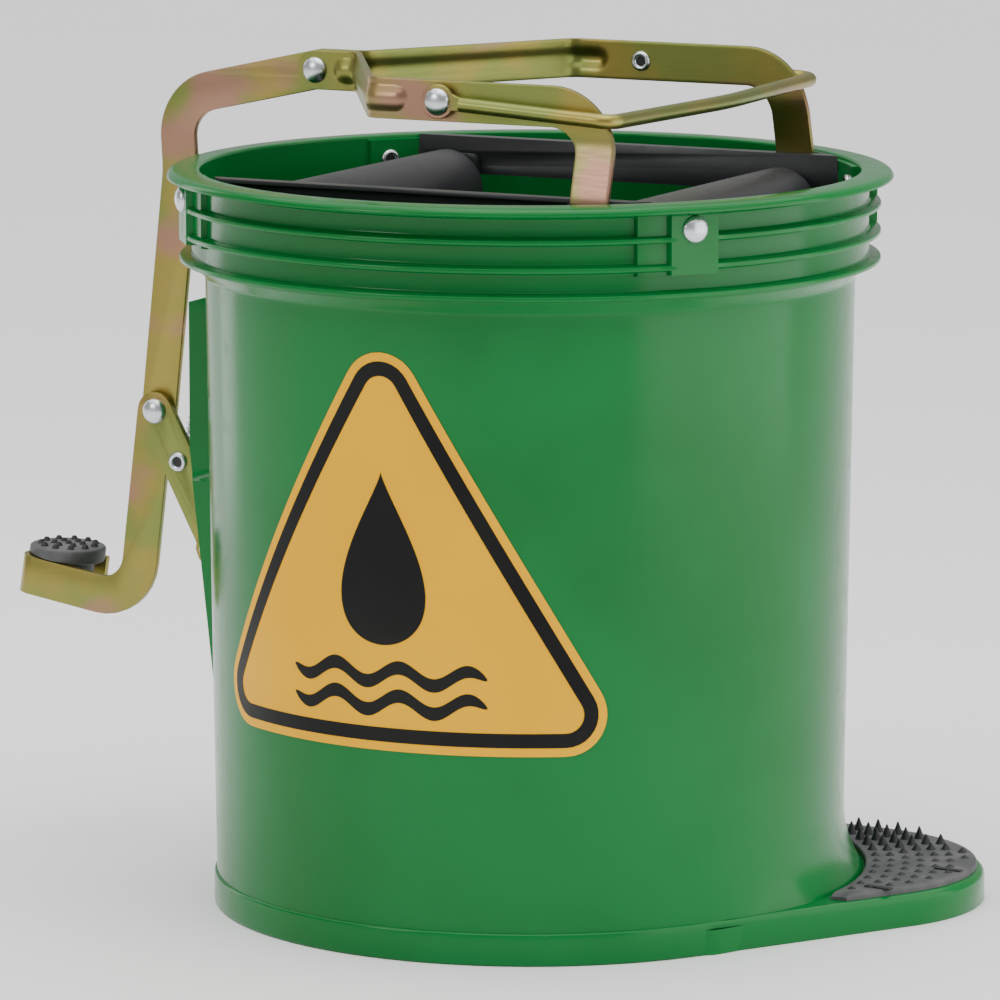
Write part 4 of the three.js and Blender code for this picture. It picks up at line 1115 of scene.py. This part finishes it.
bottom_rivet = rivets("bottom_rivet", bottom_spot, LINK_SHEET / 2 - LEVER_FRONT + GAP, tail=6.4, bore=2.6)
pin_spot = [((SPRING_PIN[0], 11, SPRING_PIN[1]), (0, 1, 0))]
spring_rivet = rivets("spring_rivet_round", pin_spot, 11 - LEVER_FRONT + 0.2)

# %% [markdown]
# ## Round wire: the carry bail and the return spring
# A bail and a spring are both round wire bent along a path. One small tree turns a line of edges into a
# tube of a given radius with closed ends. The bail's ends are flattened into eyes, which are plates.


# %% The wire tree
def wire_tree():
    parts = new_tree("round_wire", {"Radius": "Float", "Sides": "Int", "Material": "Material"})
    board, wires = parts[:2]
    line = board.node("GeometryNodeMeshToCurve", {}, {"Mesh": wires["Geometry"]})
    profile = {"Resolution": wires["Sides"], "Radius": wires["Radius"]}
    profile = board.node("GeometryNodeCurvePrimitiveCircle", {}, profile)
    tube = {"Curve": line, "Profile Curve": profile, "Fill Caps": True}
    close_tree(board, board.node("GeometryNodeCurveToMesh", {}, tube), wires["Material"])
    return parts


WIRE = wire_tree()


def bent_wire(name, path, radius, sides, material):
    edges = [(k, k + 1) for k in range(len(path) - 1)]
    piece = points_piece(name, path, material, edges=edges)
    grow(piece, WIRE, {"Radius": radius * MM, "Sides": sides, "Material": material})
    close_mesh(piece.data, 50)
    return piece


# %% Carry bail
BAIL_REACH = MOVING_ROLLER_X + 1.5
BAIL_PLANE = ARM_PLANE + ARM_SHEET / 2 + 0.3 + 3 + 0.4
BAIL_DROP = 4.7
BAIL_WIRE = 3
EYE_RADIUS = 7
start = BAIL_X + RIVET_HEAD + 5
corner = BAIL_X + BAIL_REACH
flat = [(start, -BAIL_PLANE), (corner, -BAIL_PLANE), (corner + 6, 0)]
flat += [(corner, BAIL_PLANE), (start, BAIL_PLANE)]
flat = round_corners(flat, [6, 260, 6], 14)
rod = [(p.x, p.y, ARM_HEIGHT - (p.x - BAIL_X) * BAIL_DROP / BAIL_REACH) for p in flat]
bail_parts = [bent_wire("bail_wire", rod, BAIL_WIRE, 20, zinc_steel)]
around = [math.radians(30 + 300 * k / 40) for k in range(41)]
eye = [(BAIL_X + EYE_RADIUS * math.cos(a), ARM_HEIGHT + EYE_RADIUS * math.sin(a)) for a in around]
eye += [(start - 2, ARM_HEIGHT - 3.4), (start + 3.5, ARM_HEIGHT - 2.6)]
eye += [(start + 4.6, ARM_HEIGHT - 0.8), (start + 3.5, ARM_HEIGHT + 1), (start - 2, ARM_HEIGHT + 2.4)]
eye_middle = BAIL_PLANE - 3.1 + 1.5
for side in (-1, 1):
    hole = [(BAIL_X, ARM_HEIGHT, RIVET_SHANK + GAP)]
    bail_parts.append(plate(f"bail_eye_{side + 1}", eye, hole, 3, side * eye_middle, zinc_steel))
bail = join("bail_rod", bail_parts)

# %% Return spring
PIN_HOOK, ANCHOR_HOOK = 4.35, 3.85
HOOK_LENGTH = 9
COIL_RADIUS, COIL_TURNS, TURN_STEPS = 3.3, 15, 14
SPRING_WIRE = 0.65
pin = Vector((SPRING_PIN[0], 6, SPRING_PIN[1]))
anchor = Vector((-FLANGE_RADIUS - 4, 6, RIM_HEIGHT * 0.74))
along = (anchor - pin).normalized()
across = Vector((0, 1, 0))
third = along.cross(across)
path = []
for k in range(17):
    angle = math.radians(-60 + 15 * k)
    path.append(pin + third * PIN_HOOK * math.cos(angle) - along * PIN_HOOK * math.sin(angle))
coil = (anchor - pin).length - 2 * HOOK_LENGTH
steps = COIL_TURNS * TURN_STEPS
for k in range(steps + 1):
    angle = math.pi + COIL_TURNS * math.tau * k / steps
    out = third * math.cos(angle) + across * math.sin(angle)
    path.append(pin + along * (HOOK_LENGTH + coil * k / steps) + out * COIL_RADIUS)
for k in range(17):
    angle = math.radians(-150 + 17 * k)
    rise = Vector((0, 0, ANCHOR_HOOK * math.cos(angle)))
    path.append(anchor + across * ANCHOR_HOOK * math.sin(angle) + rise)
spring = bent_wire("spring_wire", path, SPRING_WIRE, 8, rivet_steel)

# %% [markdown]
# ## The pedal's pad
# A rubber button is pressed into the pedal's bent loop. Its top stays nearly level although the strip
# slopes, so the button is thicker on the side of the lever. It is a turned shape whose height is
# stretched by a rule. The studs tree covers its top with small knobs.

# %% Pad and knobs
SLOPE = math.radians(9)
LEVER_CORNER = (-FLANGE_RADIUS - 36.9, RIM_HEIGHT * 0.3578)
FOOT_START = -FLANGE_RADIUS - 55
PAD_RADIUS = 16.5
near = Vector((FOOT_START, 0, LEVER_CORNER[1] + (LEVER_CORNER[0] - FOOT_START) * math.tan(SLOPE)))
FOOT_LENGTH = 41
pad_along = PAD_RADIUS - 1.6 - FOOT_LENGTH / math.cos(SLOPE)
pad_across = (LEVER_FRONT + LEVER_BACK) / 2 + 15
pad_centre = Vector((pad_along, pad_across, STRIP_WIDTH / 2 + GAP))
to_row = Matrix.Rotation(SLOPE, 3, "Y")


def pad_point(radius, angle, height):
    """A point of the pad, with its height stretched towards the lever."""
    u, v = radius * math.cos(angle), radius * math.sin(angle)
    stretch = 1 + u * math.tan(math.radians(6)) / 4.6 if height > 0 else 1
    return to_row @ (pad_centre + Vector((u, v, height * stretch))) + near


plug_and_shade_disc = PAD_RADIUS - LINK_SHEET - 1.2
corners = [(0, -7), (plug_and_shade_disc, -7), (plug_and_shade_disc, 0), (PAD_RADIUS, 0), (PAD_RADIUS, 4.8), (0, 5.2)]
profile = round_corners(corners, [1, 0.2, 0.5, 1.5], 5)
rings = [[pad_point(r, a, h) for a in full_turn(56)] for r, h in profile]
pad_button = skin("pad_button", rings, grip_rubber, sharp=45)
KNOB_SEAT = 5.0
spots = [pad_point(0, 0, KNOB_SEAT)]
for radius, count in ((6.2, 6), (11.8, 11)):
    spots += [pad_point(radius, math.tau * (k + 0.3) / count, KNOB_SEAT) for k in range(count)]
tilt = Vector((math.sin(math.radians(3)), 0, math.cos(math.radians(3))))
upright = {"tall": ("FLOAT", [1.0] * len(spots)), "up": ("FLOAT_VECTOR", [tuple(tilt)] * len(spots))}
pad_knobs = points_piece("pad_knobs", spots, stud_rubber, upright)
grow(pad_knobs, STUDS, {"Foot": 1.7 * MM, "Tip": 0.9 * MM, "Height": 1.5 * MM, "Material": stud_rubber})

# %% [markdown]
# ## Rollers
# The rollers are plain moulded cylinders with soft ends, turned from one profile with a bore through the
# middle. Two shallow rings left by the mould keep them from looking like a computer's cylinder.


# %% Make the rollers
def roller(name, x):
    half = RAIL_FACE - 4
    bore, radius = 4 + GAP, 17
    corners = [(0, bore), (-half, bore), (-half, radius), (half, radius), (half, bore), (0.01, bore)]
    profile = round_corners(corners, [0.5, 4.5, 4.5, 0.5], 8)
    dense = []
    for a, b in zip(profile, profile[1:]):
        parts = 24 if abs(b.x - a.x) > 60 else 1
        dense += [a.lerp(b, k / parts) for k in range(parts)]
    rings = []
    for y, r in dense:
        if r > radius - 0.01 and abs(abs(y) - half * 0.5) < 2:
            r -= 0.12
        rings.append([(x + r * math.cos(a), y, ROLLER_HEIGHT + r * math.sin(a)) for a in full_turn(64)])
    return skin(name, rings, roller_plastic, loop=True)


roller_fixed = roller("roller_fixed", FIXED_ROLLER_X)
roller_moving = roller("roller_moving", MOVING_ROLLER_X)

# %% [markdown]
# ## Rails, blocks, shoes and small hardware
# These shapes are already right in the CAD model. Each gets a merged copy with bevelled edges, because
# an edge that catches the light is what makes a small part look made.

# %% Softened copies
PLASTIC_PARTS = ("side_rail_back", "side_rail_front", "bearing_block_back", "bearing_block_front")
PLASTIC_PARTS += ("slide_shoe_back", "slide_shoe_front")
STEEL_PARTS = ("pivot_bracket_front", "pivot_bracket_back")
BRIGHT_PARTS = ("fixed_roller_axle", "moving_roller_axle", "pedal_pivot_pin", "spring_anchor")
BRIGHT_PARTS += ("shoe_rivet_back", "shoe_rivet_front")
SIDES = ("front", "back")
BRIGHT_PARTS += tuple(f"bracket_rivet_{side}_{level}" for side in SIDES for level in ("lower", "upper"))
bodies = frame["record"]["behaviour"]["bodies"]
node_body = {node: body for body, nodes in bodies.items() for node in nodes}
for nodes, width, material, slot in (
    (PLASTIC_PARTS, 0.35, rail_plastic, "rail_plastic"),
    (STEEL_PARTS, 0.4, zinc_steel, "zinc_steel"),
    (BRIGHT_PARTS, 0.25, rivet_steel, "rivet_steel"),
):
    for node in nodes:
        piece = softened(node, node + "_soft", width, material)
        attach(piece, node_body[node])

# %% [markdown]
# ## What each piece stands for
# Each new piece replaces its CAD nodes and rides on their body, so it moves with them. The spring is
# held at the wall and stretched by the lever, so it rides on neither body and stays in its rest place.

# %% Replace and ride
LABEL_PIECES = (label_sheet, label_border, label_drop, *label_waves)
STANDS_FOR = (
    ((bucket_wall, step_platform), "bucket", "bucket_plastic", ("bucket_shell",)),
    (LABEL_PIECES, "bucket", "label_film", ("label_sticker",)),
    ((foot_sheet, grip_spikes, grip_bars), "bucket", "grip_rubber", ("foot_grip",)),
    ((rail_rivets,), "bucket", "rivet_steel", ("rail_rivet_back_step", "rail_rivet_back_pedal")),
    ((roller_fixed,), "fixed_roller_body", "roller_plastic", ("fixed_roller",)),
    ((roller_moving,), "moving_roller_body", "roller_plastic", ("moving_roller",)),
    ((arm_back,), "frame", "zinc_steel", ("frame_arm_back",)),
    ((arm_front,), "frame", "zinc_steel", ("frame_arm_front",)),
    ((top_rivet,), "frame", "rivet_steel", ("link_rivet_top",)),
    ((bail_rivets,), "frame", "rivet_steel", ("bail_rivet_back", "bail_rivet_front")),
    ((bail,), "bail", "zinc_steel", ("carry_bail",)),
    ((link_plate,), "link", "zinc_steel", ("pull_link",)),
    ((lever_plate,), "pedal", "zinc_steel", ()),
    ((bottom_rivet,), "pedal", "rivet_steel", ("link_rivet_bottom",)),
    ((spring_rivet,), "pedal", "rivet_steel", ("spring_rivet",)),
    ((pad_button, pad_knobs), "pedal", "grip_rubber", ("pedal_pad",)),
)
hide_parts("rail_rivet_front_pedal", "rail_rivet_front_step")
for pieces, body, slot, nodes in STANDS_FOR:
    for piece in pieces:
        if nodes:
            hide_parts(*nodes)
        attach(piece, body)
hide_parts("return_spring")
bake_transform(spring)
print(sum(len(row[0]) for row in STANDS_FOR) + 1, "new pieces ride")

# %% [markdown]
# ## Floor, light and camera
# The setting is a plain studio: a pale floor that runs out to a white room, broad soft lights on the
# right, in front and above, and a very wide sun that evens out the floor. A narrow light on the left
# gives a glossy round wall its upright highlight. The camera stands where a photographer would, a few
# metres back with a long lens, so the bucket hardly tapers.


# %% Floor and lights
def floor_finish(board, where):
    return {"Base Color": (0.92, 0.92, 0.92, 1), "Roughness": 0.6 + board.noise(where, 3, 2) * 0.1}


reach = 9000
corners = [(-reach, -reach, 0), (reach, -reach, 0), (reach, reach, 0), (-reach, reach, 0)]
floor = make_piece("studio_floor", corners, [(0, 1, 2, 3)], new_finish("pale_floor", floor_finish))


def area_light(name, spot, target, width, height, watts):
    data = bpy.data.lights.new(name, "AREA")
    data.shape = "RECTANGLE"
    data.size = width
    data.size_y = height
    data.energy = watts
    lamp = put_in_scene(name, data)
    lamp.location = spot
    lamp.rotation_euler = (Vector(target) - Vector(spot)).to_track_quat("-Z", "Y").to_euler()


middle = (0, 0, 0.17)
area_light("soft_right", (1.15, 0.1, 0.42), middle, 1.5, 0.9, 8)
area_light("strip_left", (-1.05, 0.25, 0.42), middle, 0.25, 0.9, 1.3)
area_light("front_left", (-1.1, -2.2, 1.3), middle, 0.8, 0.8, 13)
area_light("overhead", (0.1, -0.2, 1.9), middle, 1.2, 1.2, 12)
sun = bpy.data.lights.new("ceiling", "SUN")
sun.energy = 2.8
sun.angle = math.radians(100)
put_in_scene("ceiling", sun)
world = bpy.data.worlds.new("studio")
bpy.context.scene.world = world
world.use_nodes = True
world.node_tree.nodes["Background"].inputs["Color"].default_value = (1, 1, 1, 1)
world.node_tree.nodes["Background"].inputs["Strength"].default_value = 0.45

# %% Camera
AZIMUTH = math.radians(26.6)
ELEVATION = math.radians(9.26)
DISTANCE = 2.7889
target = Vector((-0.01116, -0.00559, 0.16831))
level = math.cos(ELEVATION)
away = Vector((math.sin(AZIMUTH) * level, -math.cos(AZIMUTH) * level, math.sin(ELEVATION)))
camera = put_in_scene("camera", bpy.data.cameras.new("camera"))
camera.location = target + away * DISTANCE
camera.rotation_euler = (-away).to_track_quat("-Z", "Y").to_euler()
camera.data.sensor_width = 36
camera.data.lens = 241.1
camera.data.clip_end = 100
bpy.context.scene.camera = camera
print("camera at", tuple(round(v, 3) for v in camera.location))
